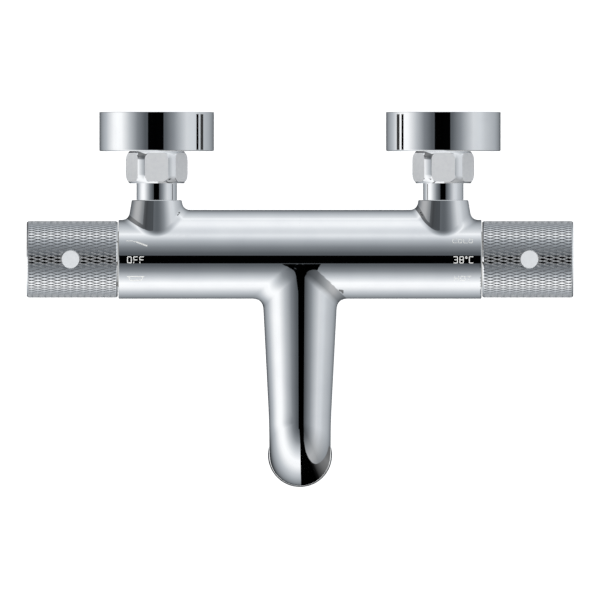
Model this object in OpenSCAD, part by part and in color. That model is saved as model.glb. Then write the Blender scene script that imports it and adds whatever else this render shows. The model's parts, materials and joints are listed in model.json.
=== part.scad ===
// Thermostatic bath mixer for a wall: two inlets, a cast body with a fixed spout, a flow handle on the
// left that also sends the water to spout or shower, and a temperature handle on the right.
// The origin lies on the wall, midway between the inlets and level with their axes.
// X runs to the temperature handle, Y into the wall and Z up. All sizes are in millimetres.

/* [Inlets] */
// Distance between the axes of the hot and the cold inlet
inlet_spacing = 150; // [146:0.5:156]
// Outer diameter of the shroud that hides each wall fixing
shroud_d = 60.2; // [58:0.2:70]
// Distance from the wall to the front of the shroud
shroud_depth = 20.5; // [19:0.5:30]
// Thickness of the shroud's wall
shroud_wall = 1.5; // [1:0.1:2.5]
// Wall of the union nut between its thread and its flats
nut_wall = 1.9; // [1.5:0.1:2.6]
// Height of the union nut's turned shoulders over its flats
nut_turned = 1.2; // [0.9:0.1:1.5]
// Length of the union nut
nut_len = 16.8; // [16:0.1:20]
// Radius of the turned shoulders of the union nut
nut_shoulder_r = 6.3; // [5:0.1:8]
// Outer diameter of the union thread
union_thread_d = 26.2; // [25.6:0.1:26.8]
// Length of the union thread that the nut covers
union_engage = 8.5; // [7.5:0.1:9.5]
// Outer diameter of the inlet tail
tail_d = 21.2; // [20.6:0.1:22]
// Length of the tail that shows between the nut and the body
tail_show = 8.8; // [7:0.1:14]
// Bore of the inlet tail
tail_bore_d = 16.4; // [15.6:0.1:17.2]
// Length of the tail inside the body
tail_engage = 7; // [6:0.1:7.2]
// Lift of the check valve
check_lift = 3; // [2:0.1:4]

/* [Wall fixing] */
// Diameter of the wall plate
plate_d = 52; // [48:1:54]
// Thickness of the wall plate
plate_t = 4; // [3:0.5:6]
// Distance between the two screws of a wall plate
plate_screw_spacing = 38; // [37:0.5:41]
// Diameter of a screw hole in the wall plate
plate_screw_d = 4.8; // [4:0.1:5.5]
// Outer diameter of the hub that carries the shroud
hub_d = 29.6; // [29:0.1:30.4]
// Outer diameter of the water pipe
pipe_d = 15; // [14:0.1:15.4]
// Depth of the straight pipe socket
pipe_socket = 8; // [6:0.5:9]

/* [Body] */
// Diameter of the body tube
body_d = 41.4; // [40:0.1:44]
// Length of the body beyond the axis of each inlet
body_overhang = 20; // [18:0.5:27]
// Distance from the face of an inlet boss to the axis of the body tube
boss_reach = 31; // [30:0.1:36]
// Diameter of an inlet boss behind its rounded rim
boss_d = 26.2; // [25.6:0.1:28]
// Draft of an inlet boss in degrees
boss_draft = 9.5; // [4:0.5:12]
// Radius of the hot gallery behind the tube
gallery_r = 13; // [12.4:0.1:14]
// Distance from the tube's axis to the centre of the gallery's round
gallery_back = 12.9; // [12.5:0.1:14]
// Length of the blend between an inlet boss and the tube
boss_blend = 3.2; // [2:0.1:4]

/* [Spout] */
// Distance from the tube's axis to the axis of the outlet
spout_reach = 102.6; // [90:0.5:130]
// Depth of the spout's skin under the tube's, measured at the tube's axis
spout_inset = 0.3; // [0.2:0.05:0.8]
// Diameter of the spout where its bend begins
spout_d = 32.3; // [31:0.1:35]
// Radius of the bend along the inside of the spout
spout_inner_bend_r = 0.65; // [0.5:0.05:8]
// Distance from the tube's axis down to the rim of the outlet
spout_drop = 29; // [28.5:0.5:45]
// Diameter of the outlet at its rim
outlet_d = 33.7; // [32.5:0.1:36]
// Length of the blend between the spout and the tube
spout_blend = 4.2; // [2:0.1:5]
// Diameter of the waterway in the spout
spout_bore_d = 18.8; // [16:0.2:21]

/* [Shower outlet] */
// Distance from the middle of the body to the shower outlet
shower_x = 30; // [28:0.5:36]
// Outer diameter of the thread for the shower hose
hose_thread_d = 20.9; // [20:0.1:21]
// Length of the thread for the shower hose
hose_thread_len = 10; // [8:0.5:14]

/* [Handles] */
// Diameter over the knurl
handle_d = 40.1; // [39.5:0.1:43]
// Length of a handle
handle_len = 47.6; // [46.5:0.1:56]
// Gap between a handle and the body
handle_gap = 0.4; // [0.3:0.1:1]
// Inner diameter of the knurled sleeve
sleeve_bore_d = 35.4; // [35:0.1:36.2]
// Length of one diamond of the knurl along the handle
knurl_pitch = 6.1; // [4:0.1:9]
// Number of diamonds around the handle
knurl_count = 70; // [48:2:80]
// Depth of the knurl
knurl_depth = 0.4; // [0.2:0.05:0.6]
// Width of the plain rim at each end of the knurl
knurl_rim = 0.8; // [0.5:0.1:1.5]
// Diameter of the push button
button_d = 9.3; // [8.4:0.1:9.5]
// Distance from the handle's inner end to the middle of the button
button_at = 24.6; // [24.4:0.1:26]
// Travel of the push button
button_travel = 2; // [1:0.1:2.2]
// Height of the button's face above the knurl
button_proud = 0.25; // [0:0.05:1]

/* [Cartridges] */
// Diameter of the thermostat's chamber in the body
thermo_d = 32; // [31.4:0.1:33]
// Depth of the thermostat's chamber
thermo_depth = 57; // [56:0.5:62]
// Diameter of the flow valve's chamber in the body
flow_d = 28; // [27.4:0.1:29]
// Depth of the flow valve's chamber
flow_depth = 37; // [36:0.5:44]
// Diameter of the thread of the lock nuts
lock_thread_d = 34.2; // [33.6:0.1:35]
// Width of the lock nuts across their flats
lock_af = 29; // [27:0.1:29.4]
// Diameter of the cartridge spindles
spindle_d = 8; // [7:0.1:8.6]
// Distance from a cartridge's axis to its ports
port_at = 7.2; // [6.8:0.1:7.6]
// Diameter of the waterways between the two cartridges
port_d = 8.2; // [7:0.1:8.6]

/* [Fits] */
// Radial clearance of pieces that slide or turn in one another
run_fit = 0.1; // [0.05:0.01:0.2]
// Radial clearance of threads
thread_fit = 0.1; // [0.05:0.01:0.2]
// Radial clearance of a cartridge in its chamber
drop_fit = 0.2; // [0.1:0.05:0.4]
// Gap between faces that stand against each other
face_gap = 0.1; // [0.05:0.01:0.2]

/* [Hidden] */
$fn = 96;
// How far a cutting shape runs past the face that it cuts
cut = 1;
// How far the edge of a blend lies under the skin that it joins
blend_sink = 0.05;
// Sides of a blend, and steps across it
blend_sides = 36;
blend_steps = 5;
// How far a blend's ring of metal reaches into the shapes that it joins
blend_root = 3;
// Gap round a seated sealing ring, and at clamped faces
seated = 0.02;
// Gap at the ends of a fitted spring
spring_gap = 0.05;

chrome = "#c8cbd0";
satin = "#d9dbde";
brass = "#c9a254";
steel = "#a9adb2";
acetal = "#ecebe4";
ceramic = "#f4f1ea";
rubber = "#2b2c2e";
mesh_grey = "#8d9196";

// Stations along an inlet, measured from the wall
hub_end = shroud_depth - 0.3;
spigot_end = shroud_depth + union_engage;
washer_t = 2;
collar_from = spigot_end + washer_t;
collar_t = 2.8;
collar_to = collar_from + collar_t;
nut_end = shroud_depth + nut_len;
boss_face = nut_end + tail_show;
tail_end = boss_face + tail_engage;
axis_y = boss_face + boss_reach;
collar_d = union_thread_d - 1;
nut_af = union_thread_d + 2 * nut_wall;
nut_d = nut_af + 2 * nut_turned;
spigot_d = tail_d - 0.6;
socket_d = pipe_d + 2 * run_fit;
gland_d = 20.2;
gland_len = 10;
gland_bore_d = socket_d + 1.6;
olive_t = 6;
olive_from = pipe_socket + face_gap;
gland_from = olive_from + olive_t + face_gap;
neck_wall = 2;
neck_bore_d = hub_d + 0.8;
neck_len = 8;
ring_wire = 1.6;
hub_ring_at = hub_end - neck_len / 2;
nut_shoulder_at = 4.5;
lip_round = 0.4;

// Check valve in the tail
cage_from = collar_from + 0.5;
cage_d = tail_bore_d - 2 * run_fit;
cage_wall = 1.2;
seat_t = 1.5;
seat_bore_d = 9.2;
guide_t = 2;
guide_holes = 6;
guide_hole_d = 3;
guide_hole_at = 4.6;
poppet_d = 11.8;
poppet_t = 1.4;
poppet_stem_d = 2.6;
check_wire = 0.6;
check_turns = 5;
check_coil_d = poppet_stem_d + 2.6;
poppet_from = cage_from + seat_t + face_gap;
// Room that the open check valve leaves its spring
check_spring_room = 8.1;
cage_len = seat_t + poppet_t + check_lift + check_spring_room + guide_t;
stem_to = cage_from + cage_len - guide_t / 2;

// Skin of the body, measured from the tube's axis
body_len = inlet_spacing + 2 * body_overhang;
tube_r = body_d / 2;
flank_sin = (tube_r - gallery_r) / gallery_back;
flank_angle = acos(flank_sin);
flank_len = gallery_back * sin(flank_angle);
boss_rim_r = 0.5;
spout_root_r = tube_r - spout_inset;
spout_bend_r = spout_d / 2 + spout_inner_bend_r;
spout_straight = spout_reach - spout_bend_r;
spout_taper = (spout_root_r - spout_d / 2) / spout_straight;

// Waterways in the body
gallery_wall = 2.4;
slot_t = 5.6;
slot_w = 12;
slot_back = gallery_back + gallery_r - gallery_wall - slot_t / 2;
inlet_bore_d = 16.8;
hot_inlet_floor = flow_d / 2 + 3;
hot_port_at = 50;
hot_port_d = 8;
mixed_angle = 60;
bath_angle = 180;
shower_angle = -60;
shower_bore_d = 10;
nipple_thread_d = 18.4;
nipple_thread_len = 8.5;
shower_boss_d = 24;
shower_boss_z = tube_r + 2.3;
nipple_flange_t = 2;
nipple_bore_d = 13;
nipple_ring_wire = 1.5;

// Outlet
outlet_wall = 3.75;
aerator_d = outlet_d - 2 * outlet_wall;
aerator_len = 9.6;
aerator_wall = 2;
aerator_sink = 0.4;
aerator_washer_t = 1.5;
aerator_insert_t = 4.2;
aerator_hole_d = 1.8;
// Rings of holes in the insert: how many, and at what share of its radius
aerator_holes = [[1, 0], [6, 0.33], [12, 0.67]];
outlet_lip = 0.5;
// Growth of the spout's waterway where its direction changes
bore_step = 0.3;

// Stations along an end of the body, measured outwards from the end face
handle_from = handle_gap;
handle_to = handle_gap + handle_len;
lock_in = 5;
lock_to = 6;
lock_bore_d = 21;
flange_t = 3;
flange_d = lock_thread_d - 0.6;
neck_d = lock_bore_d - 0.6;
neck_to = lock_to + 0.5;
stub_wall = 4;
stub_d = spindle_d + 2 * stub_wall;
stub_to = 17.5;
stop_from = 12;
stop_to = stub_to - 0.2;
stop_d = 20.8;
core_from = lock_to + 2;
core_to = handle_to - 3;
core_wall = 1.5;
skirt_fit = 0.2;
skirt_d = sleeve_bore_d - 2 * skirt_fit;
hub_from = 19.5;
core_hub_d = 16;
hub_to = 36;
web_from = 31;
web_to = 34;
screw_d = 4.8;
screw_head_d = 9;
screw_head_t = 3.4;
screw_len = 14;
screw_room = 0.5;
cap_recess = 0.3;
cap_from = core_to + 0.2;
cap_rim_len = 4;
cap_rim_wall = 1.5;

// Push button, measured from the handle's axis
button_z = handle_from + button_at;
button_hole_d = button_d + 0.3;
button_flange_d = button_d + 0.9;
button_flange_t = 1;
button_flange_top = sleeve_bore_d / 2 - 0.9;
button_stem_d = 3.6;
button_wire = 0.5;
button_turns = 3;
button_coil_d = button_flange_d - 1.6;
guide_floor_t = 1;
// Room that the pressed button leaves its spring
button_spring_room = 2.2;
guide_floor = button_flange_top - button_flange_t - button_travel - button_spring_room - guide_floor_t;
button_guide_d = button_flange_d + 3;
button_stem_end = guide_floor + 0.1;
button_top = handle_d / 2 + button_proud;

// Thermostat, measured inwards from the end face
thermo_housing_d = thermo_d - 2 * drop_fit;
thermo_wall = 3.2;
thermo_cavity_d = thermo_housing_d - 2 * thermo_wall;
thermo_floor_t = 2;
thermo_out_d = 13;
thermo_head = 14.5;
housing_to = thermo_depth - 0.4;
cold_port_at = body_overhang;
window_w = 6;
window_count = 6;
hot_window = [hot_port_at - 3, hot_port_at + 2];
cold_window = [cold_port_at - 3, cold_port_at + 5];
shuttle_d = thermo_cavity_d - 2 * drop_fit;
shuttle_bore_d = 18;
shuttle = [cold_port_at + 1, hot_port_at - 0.5];
element_d = 11;
element_flange_d = shuttle_bore_d - 2 * run_fit;
element_flange = [31, 34];
element = [29, 50];
piston_d = 3.2;
piston_tip = 22.6;
spindle_collar_d = 13;
spindle_collar_t = 3;
spindle_nose_d = 6;
spindle_nose = 22;
return_wire = 1.4;
return_coil_d = 16.6;
return_turns = 6;
seal_wire = 1.8;
thermo_seals_at = [12, 36, housing_to - 2.2];

// Flow valve, measured inwards from the end face
flow_housing_d = flow_d - 2 * drop_fit;
flow_wall = 2.3;
flow_cavity_d = flow_housing_d - 2 * flow_wall;
flow_head = 20;
gasket_t = 2.4;
disc_t = 3.5;
disc_d = flow_cavity_d - 2 * drop_fit;
rotor_play = 0.5;
rotor_d = flow_cavity_d - 2 * rotor_play;
rotor_gap = 0.06;
gasket_from = flow_depth - face_gap;
fixed_from = gasket_from - gasket_t - seated;
rotor_from = fixed_from - disc_t - rotor_gap;
carrier_from = rotor_from - disc_t - seated;
carrier_t = 4;
pocket_depth = 2;
pocket_from = 20;
pocket_sweep = 140;
disc_port_d = port_d - 2;
flow_seals_at = [12, 26];

// Places on the mixer

// Puts a piece drawn along Z, with the wall at 0, on an inlet: side is -1 for hot and 1 for cold
module at_inlet(side) {
    translate([side * inlet_spacing / 2, 0, 0]) rotate([90, 0, 0]) children();
}

// Puts a piece drawn along Z on an end of the body: 0 is the end face, Z points out and -X is up
module at_end(side) {
    translate([0, -axis_y, 0])
        if (side > 0)
            translate([body_len / 2, 0, 0]) rotate([0, 90, 0]) children();
        else
            mirror([1, 0, 0]) translate([body_len / 2, 0, 0]) rotate([0, 90, 0]) children();
}

// Inside at_end, turns a piece drawn along Z to point up, at a station along the handle
module pointing_up(station) {
    translate([0, 0, station]) rotate([0, -90, 0]) children();
}

// Common shapes

// Round rod along Z between two stations
module rod(d, from, to) {
    translate([0, 0, from]) cylinder(h = to - from, d = d);
}

// Round tube along Z between two stations
module tube(d, bore, from, to) {
    difference() {
        rod(d, from, to);
        rod(bore, from - cut, to + cut);
    }
}

// Sealing ring round Z whose outer diameter is given
module seal_ring(outer_d, wire_d, at) {
    translate([0, 0, at]) rotate_extrude()
        translate([(outer_d - wire_d) / 2, 0]) circle(d = wire_d, $fn = 32);
}

// Groove for a sealing ring, cut into a rod from outside
module seal_groove(outer_d, wire_d, at) {
    groove_w = wire_d + 0.4;
    floor_d = outer_d - 2 * wire_d - 0.1;
    tube(outer_d + 2, floor_d, at - groove_w / 2, at + groove_w / 2);
}

// Copies of a shape at equal angles round Z
module around(count) {
    for (i = [0 : count - 1])
        rotate([0, 0, 360 * i / count]) children();
}

// Points of an arc round a centre, in steps
function arc(centre, r, from, to, steps = 6) =
    [for (i = [0 : steps]) let (a = from + (to - from) * i / steps) centre + r * [cos(a), sin(a)]];

// Triangles between rings of equal numbers of points, each ring closed on itself
function ring_faces(rings, sides, wrap = false) =
    [for (i = [0 : rings - (wrap ? 1 : 2)], j = [0 : sides - 1])
        let (a = i * sides + j, b = i * sides + (j + 1) % sides,
             c = ((i + 1) % rings) * sides + j, d = ((i + 1) % rings) * sides + (j + 1) % sides)
        each [[a, b, d], [a, d, c]]];

// Spring wound round Z from one unbroken wire
module spring(coil_d, wire_d, turns, from, to) {
    sides = 5;
    steps = ceil(turns * 9);
    climb = (to - from - wire_d) / steps;
    points = [for (i = [0 : steps], k = [0 : sides - 1])
        let (a = 360 * turns * i / steps, b = 360 * k / sides,
             r = (coil_d - wire_d) / 2 + wire_d / 2 * cos(b))
        [r * cos(a), r * sin(a), from + wire_d / 2 + climb * i + wire_d / 2 * sin(b)]];
    first = [for (k = [0 : sides - 1]) k];
    last = [for (k = [sides - 1 : -1 : 0]) steps * sides + k];
    wall = [for (f = ring_faces(steps + 1, sides)) [f[2], f[1], f[0]]];
    polyhedron(points, concat([first, last], wall));
}

// Wall fixing

module wall_plate(side) {
    color(brass) at_inlet(side) difference() {
        union() {
            rod(plate_d, 0, plate_t);
            rod(hub_d, 0, hub_end);
            rod(union_thread_d, 0, spigot_end);
        }
        rod(socket_d, -cut, spigot_end + cut);
        rod(gland_d, pipe_socket, spigot_end + cut);
        for (s = [-1, 1])
            translate([0, s * plate_screw_spacing / 2, 0]) rod(plate_screw_d, -cut, plate_t + cut);
        seal_groove(neck_bore_d - 2 * seated, ring_wire, hub_ring_at);
    }
}

module pipe_olive(side) {
    mid_bulge = 0.6;
    inner = socket_d / 2 + 0.05;
    outer = gland_d / 2 - run_fit;
    color(brass) at_inlet(side) rotate_extrude()
        polygon([
            [inner, olive_from], [outer - mid_bulge, olive_from], [outer, olive_from + olive_t / 2],
            [outer - mid_bulge, olive_from + olive_t], [inner, olive_from + olive_t]
        ]);
}

module gland_nut(side) {
    slot_w = 3;
    slot_depth = 3;
    color(brass) at_inlet(side) difference() {
        tube(gland_d - 2 * thread_fit, gland_bore_d, gland_from, gland_from + gland_len);
        for (a = [0, 90])
            rotate([0, 0, a])
                translate([-gland_d / 2, -slot_w / 2, gland_from + gland_len - slot_depth])
                    cube([gland_d, slot_w, slot_depth + cut]);
    }
}

module shroud(side) {
    outer = shroud_d / 2;
    inner = outer - shroud_wall;
    neck_in = neck_bore_d / 2;
    neck_out = neck_in + neck_wall;
    front = shroud_depth - shroud_wall;
    color(chrome) at_inlet(side) rotate_extrude()
        polygon(concat(
            [[inner, 0], [outer, 0]],
            arc([outer - lip_round, shroud_depth - lip_round], lip_round, 0, 90),
            [
                [neck_in, shroud_depth], [neck_in, shroud_depth - neck_len],
                [neck_out, shroud_depth - neck_len], [neck_out, front], [inner, front]
            ]
        ));
}

module shroud_ring(side) {
    color(rubber) at_inlet(side) seal_ring(neck_bore_d - 2 * seated, ring_wire, hub_ring_at);
}

// Union and inlet tail

module union_nut(side) {
    r = nut_d / 2;
    shoulder_r = nut_shoulder_r;
    centre_r = r - shoulder_r;
    end_angle = asin(nut_shoulder_at / shoulder_r);
    profile = concat(
        [[0, 0]],
        arc([centre_r, nut_shoulder_at], shoulder_r, -end_angle, 0),
        arc([centre_r, nut_len - nut_shoulder_at], shoulder_r, 0, end_angle),
        [[0, nut_len]]
    );
    color(chrome) at_inlet(side) difference() {
        translate([0, 0, shroud_depth]) intersection() {
            cylinder(h = nut_len, d = nut_af / cos(30), $fn = 6);
            rotate_extrude() polygon(profile);
        }
        rod(union_thread_d + 2 * thread_fit, shroud_depth - cut, collar_to + face_gap);
        rod(tail_d + 2 * run_fit, shroud_depth, nut_end + cut);
    }
}

module filter_washer(side) {
    mesh_t = 0.4;
    hole_d = 2;
    hole_rings = [[1, 0], [6, 3], [12, 6]];
    color(rubber) at_inlet(side) difference() {
        rod(collar_d, spigot_end + seated, collar_from - seated);
        rod(tail_bore_d, spigot_end - cut, spigot_end + (washer_t - mesh_t) / 2);
        rod(tail_bore_d, spigot_end + (washer_t + mesh_t) / 2, collar_from + cut);
        for (ring = hole_rings)
            around(ring[0]) translate([ring[1], 0, 0]) rod(hole_d, spigot_end - cut, collar_from + cut);
    }
}

module inlet_tail(side) {
    color(chrome) at_inlet(side) difference() {
        union() {
            rod(collar_d, collar_from, collar_to);
            rod(tail_d, collar_from, boss_face - face_gap);
            rod(spigot_d, collar_from, tail_end);
        }
        rod(tail_bore_d, collar_from - cut, tail_end + cut);
    }
}

module check_cage(side) {
    cage_to = cage_from + cage_len;
    guide_from = cage_to - guide_t;
    color(acetal) at_inlet(side) difference() {
        rod(cage_d, cage_from, cage_to);
        rod(cage_d - 2 * cage_wall, cage_from + seat_t, guide_from);
        rod(seat_bore_d, cage_from - cut, cage_from + seat_t + cut);
        rod(poppet_stem_d + 2 * run_fit, guide_from - cut, cage_to + cut);
        around(guide_holes)
            translate([guide_hole_at, 0, 0]) rod(guide_hole_d, guide_from - cut, cage_to + cut);
    }
}

module check_poppet(side) {
    color(acetal) at_inlet(side) {
        rod(poppet_d, poppet_from, poppet_from + poppet_t);
        rod(poppet_stem_d, poppet_from, stem_to);
    }
}

module check_spring(side) {
    color(steel) at_inlet(side)
        spring(check_coil_d, check_wire, check_turns, poppet_from + poppet_t + spring_gap,
               cage_from + cage_len - guide_t - spring_gap);
}

// Skin of the body: a point on a section is [distance from the tube's axis, height]

// Height on the rear section, which joins the gallery's round to the tube, at a length along the skin
function rear_skin(s) = let (
        gallery_arc = gallery_r * flank_angle * PI / 180,
        a = s * 180 / PI / gallery_r,
        f = s - gallery_arc,
        b = flank_angle + (s - gallery_arc - flank_len) * 180 / PI / tube_r
    )
    s < gallery_arc ? [gallery_back + gallery_r * cos(a), gallery_r * sin(a)]
    : f < flank_len ? [gallery_back + gallery_r * cos(flank_angle) - f * sin(flank_angle),
                       gallery_r * sin(flank_angle) + f * cos(flank_angle)]
    : [tube_r * cos(b), tube_r * sin(b)];

// Length along the rear section to a height
function rear_length(z) = let (
        gallery_arc = gallery_r * flank_angle * PI / 180,
        flank_z = gallery_r * sin(flank_angle),
        tube_z = tube_r * sin(flank_angle)
    )
    z < flank_z ? gallery_r * asin(z / gallery_r) * PI / 180
    : z < tube_z ? gallery_arc + (z - flank_z) / cos(flank_angle)
    : gallery_arc + flank_len + tube_r * (asin(z / tube_r) - flank_angle) * PI / 180;

// The same two rules for the plain tube
function tube_skin(s) = tube_r * [cos(s * 180 / PI / tube_r), sin(s * 180 / PI / tube_r)];
function tube_length(z) = tube_r * asin(min(1, z / tube_r)) * PI / 180;

function boss_radius(back) = boss_d / 2 + (boss_reach - back) * tan(boss_draft);
function spout_radius(out) = spout_root_r - spout_taper * out;

// Where the boss and the spout meet the skin, at the sine of the angle round them, found in a few rounds
function boss_meets(s, rounds = 6) = rounds == 0 ? tube_r
    : let (b = boss_meets(s, rounds - 1)) rear_skin(rear_length(boss_radius(b) * s))[0];
function spout_meets(s, rounds = 8) = rounds == 0 ? tube_r
    : let (t = spout_meets(s, rounds - 1)) tube_skin(tube_length(spout_radius(t) * s))[0];

// Points of a curve that leaves a along the line to corner and arrives at b along the line from it
function blend_curve(a, corner, b) =
    [for (i = [0 : blend_steps]) let (t = i / blend_steps)
        (1 - t) * (1 - t) * a + 2 * t * (1 - t) * corner + t * t * b];

// How far the skin at an angle round the boss is the rear section's: 1 inwards, 0 outwards
function rear_share(c) = c <= 0 ? 1 : max(0, 1 - 2 * c);

// One slice of the blend round an inlet boss, at angle a from the outward direction
function boss_slice(a) = let (
        s = abs(sin(a)), up = sin(a) < 0 ? -1 : 1, w = rear_share(cos(a)),
        back = boss_meets(s), r = boss_radius(back), z = r * s,
        tube_p = tube_skin(tube_length(z)), rear_p = rear_skin(rear_length(z)),
        p = w * rear_p + (1 - w) * tube_p,
        tube_b = tube_skin(tube_length(z) + boss_blend * s),
        rear_b = rear_skin(rear_length(z) + boss_blend * s),
        b = w * rear_b + (1 - w) * tube_b,
        face_r = boss_radius(p[0] + boss_blend) - blend_sink,
        corner = [r * cos(a), p[0], up * p[1]],
        on_boss = [face_r * cos(a), p[0] + boss_blend, face_r * sin(a)],
        on_skin = [(r + boss_blend) * cos(a), b[0] - blend_sink, up * b[1]],
        root = [(r - blend_root) * cos(a), p[0] - blend_root, up * (p[1] - blend_root * s)]
    ) concat(blend_curve(on_boss, corner, on_skin), [root]);

// One slice of the blend round the spout, at angle a from X
function spout_slice(a) = let (
        s = abs(sin(a)), up = sin(a) < 0 ? -1 : 1,
        out = spout_meets(s), r = spout_radius(out),
        length = tube_length(r * s),
        b = tube_skin(length + spout_blend * s),
        face_r = spout_radius(out + spout_blend) - blend_sink,
        corner = [r * cos(a), -out, r * sin(a)],
        on_spout = [face_r * cos(a), -out - spout_blend, face_r * sin(a)],
        on_skin = [(r + spout_blend) * cos(a), blend_sink - b[0], up * (b[1] - blend_sink)],
        root = [(r - blend_root) * cos(a), 2 - out * 0.9, (r - blend_root) * sin(a)]
    ) concat(blend_curve(on_spout, corner, on_skin), [root]);

// Closed ring of metal through a loop of slices
module blend_ring(slices) {
    polyhedron([for (slice = slices) each slice], ring_faces(len(slices), len(slices[0]), true));
}

module boss_blends() {
    slices = [for (i = [0 : blend_sides - 1]) boss_slice(360 * i / blend_sides)];
    for (m = [0, 1])
        mirror([m, 0, 0]) translate([inlet_spacing / 2, 0, 0]) blend_ring(slices);
}

module spout_blends() {
    blend_ring([for (i = [0 : blend_sides - 1]) spout_slice(-360 * i / blend_sides)]);
}

// Boss with a rounded rim, drawn from the wall side towards the tube's axis
module inlet_boss() {
    root_back = 6;
    polygon_points = concat(
        [[0, root_back], [boss_radius(root_back), root_back]],
        arc([boss_radius(boss_reach) - boss_rim_r, boss_reach - boss_rim_r], boss_rim_r, 0, 90, 4),
        [[0, boss_reach]]
    );
    rotate([-90, 0, 0]) rotate_extrude() polygon(polygon_points);
}

// Hot gallery: a round along the back of the tube that fades into it behind the bosses
module gallery_shell() {
    end_x = inlet_spacing / 2;
    hull() {
        for (s = [-1, 1])
            translate([s * end_x, gallery_back, 0]) sphere(r = gallery_r, $fn = 32);
        rotate([0, 90, 0]) cylinder(h = 2 * end_x - gallery_r, r = tube_r - 0.1, center = true, $fn = 48);
    }
    translate([0, gallery_back, 0]) rotate([0, 90, 0])
        cylinder(h = 2 * end_x, r = gallery_r + blend_sink, center = true);
}

// Swept quarter turn of a round section, from level and forward to straight down
module spout_elbow(d) {
    translate([0, -spout_straight, -spout_bend_r])
        rotate([90, 0, -90]) rotate_extrude(angle = 90) translate([spout_bend_r, 0]) circle(d = d);
}

module spout_shell() {
    rim_r = outlet_d / 2;
    rotate([90, 0, 0]) cylinder(h = spout_straight, r1 = spout_root_r, r2 = spout_d / 2);
    spout_elbow(spout_d);
    translate([0, -spout_reach, 0]) rotate_extrude()
        polygon(concat(
            [[0, -spout_drop]],
            arc([rim_r - outlet_lip, outlet_lip - spout_drop], outlet_lip, -90, 0, 4),
            [[spout_d / 2, -spout_bend_r], [0, -spout_bend_r]]
        ));
}

module waterways() {
    // Chambers of the two cartridges and the threads of their lock nuts
    translate([body_len / 2, 0, 0]) rotate([0, 90, 0]) {
        rod(thermo_d, -thermo_depth, cut);
        rod(lock_thread_d, -lock_in - flange_t - face_gap, cut);
    }
    translate([-body_len / 2, 0, 0]) rotate([0, -90, 0]) {
        rod(flow_d, -flow_depth, cut);
        rod(lock_thread_d, -lock_in - flange_t - face_gap, cut);
    }
    // Mixed water to the flow valve, and from it to the spout and the shower outlet
    flow_floor = flow_depth - body_len / 2 - cut;
    port(mixed_angle) rod(port_d, flow_floor, body_len / 2 - thermo_depth + cut);
    port(bath_angle) rod(port_d, flow_floor, port_d);
    port(shower_angle) rod(port_d, flow_floor, -shower_x);
    // Spout
    rotate([90, 0, 0]) rod(spout_bore_d, port_at - port_d / 2, spout_straight);
    spout_elbow(spout_bore_d + bore_step);
    translate([0, -spout_reach, 0]) {
        rod(spout_bore_d + 2 * bore_step, -spout_drop - cut, -spout_bend_r);
        rod(aerator_d, -spout_drop - cut, aerator_len + aerator_sink + aerator_washer_t - spout_drop);
    }
    // Shower outlet
    translate([-shower_x, 0, 0]) {
        rod(shower_bore_d, -shower_boss_z, -port_at * sin(mixed_angle));
        rod(nipple_thread_d, -shower_boss_z - cut, nipple_thread_len - shower_boss_z);
    }
    // Inlets
    for (s = [-1, 1])
        translate([s * inlet_spacing / 2, 0, 0]) rotate([-90, 0, 0]) {
            rod(spigot_d + 2 * thread_fit, boss_reach - tail_engage - face_gap, boss_reach + cut);
            rod(inlet_bore_d, s > 0 ? thermo_d / 4 : hot_inlet_floor, boss_reach);
        }
    // Hot gallery and its port to the thermostat
    hot_port_x = body_len / 2 - hot_port_at;
    slot_len = hot_port_x + hot_port_d / 2 + inlet_spacing / 2;
    for (s = [-1, 1])
        translate([-inlet_spacing / 2, slot_back, s * (slot_w - slot_t) / 2])
            rotate([0, 90, 0]) rod(slot_t, 0, slot_len);
    translate([-inlet_spacing / 2, slot_back - slot_t / 2, (slot_t - slot_w) / 2])
        cube([slot_len, slot_t, slot_w - slot_t]);
    translate([hot_port_x, 0, 0]) rotate([-90, 0, 0]) rod(hot_port_d, thermo_d / 4, slot_back);
}

// Inside the body, puts a rod along X on one of the three ports, at an angle up from the back
module port(angle) {
    translate([0, port_at * cos(angle), port_at * sin(angle)]) rotate([0, 90, 0]) children();
}

module body_casting() {
    color(chrome) translate([0, -axis_y, 0]) difference() {
        union() {
            rotate([0, 90, 0]) cylinder(h = body_len, r = tube_r, center = true);
            gallery_shell();
            for (s = [-1, 1])
                translate([s * inlet_spacing / 2, 0, 0]) inlet_boss();
            boss_blends();
            spout_shell();
            spout_blends();
            translate([-shower_x, 0, 0]) rod(shower_boss_d, -shower_boss_z, 0);
        }
        waterways();
    }
}

// Outlet pieces

// Puts a piece drawn along Z on the outlet's axis, with 0 at its rim
module at_outlet() {
    translate([0, -axis_y - spout_reach, -spout_drop]) children();
}

module aerator_housing() {
    color(chrome) at_outlet()
        tube(aerator_d - 2 * thread_fit, aerator_d - 2 * aerator_wall, aerator_sink,
             aerator_sink + aerator_len - 0.05);
}

module aerator_insert() {
    insert_r = aerator_d / 2 - aerator_wall - run_fit;
    insert_from = aerator_sink + 0.8;
    insert_to = insert_from + aerator_insert_t;
    color(mesh_grey) at_outlet() difference() {
        rod(2 * insert_r, insert_from, insert_to);
        for (ring = aerator_holes)
            around(ring[0]) translate([ring[1] * insert_r, 0, 0])
                rod(aerator_hole_d, insert_from - cut, insert_to + cut);
    }
}

module aerator_washer() {
    washer_from = aerator_sink + aerator_len;
    color(rubber) at_outlet()
        tube(aerator_d - 0.4, spout_bore_d + 0.8, washer_from, washer_from + aerator_washer_t - 0.05);
}

// Puts a piece drawn along Z on the axis of the shower outlet, with 0 at the face of its boss
module at_shower_outlet() {
    translate([-shower_x, -axis_y, -shower_boss_z]) children();
}

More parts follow.
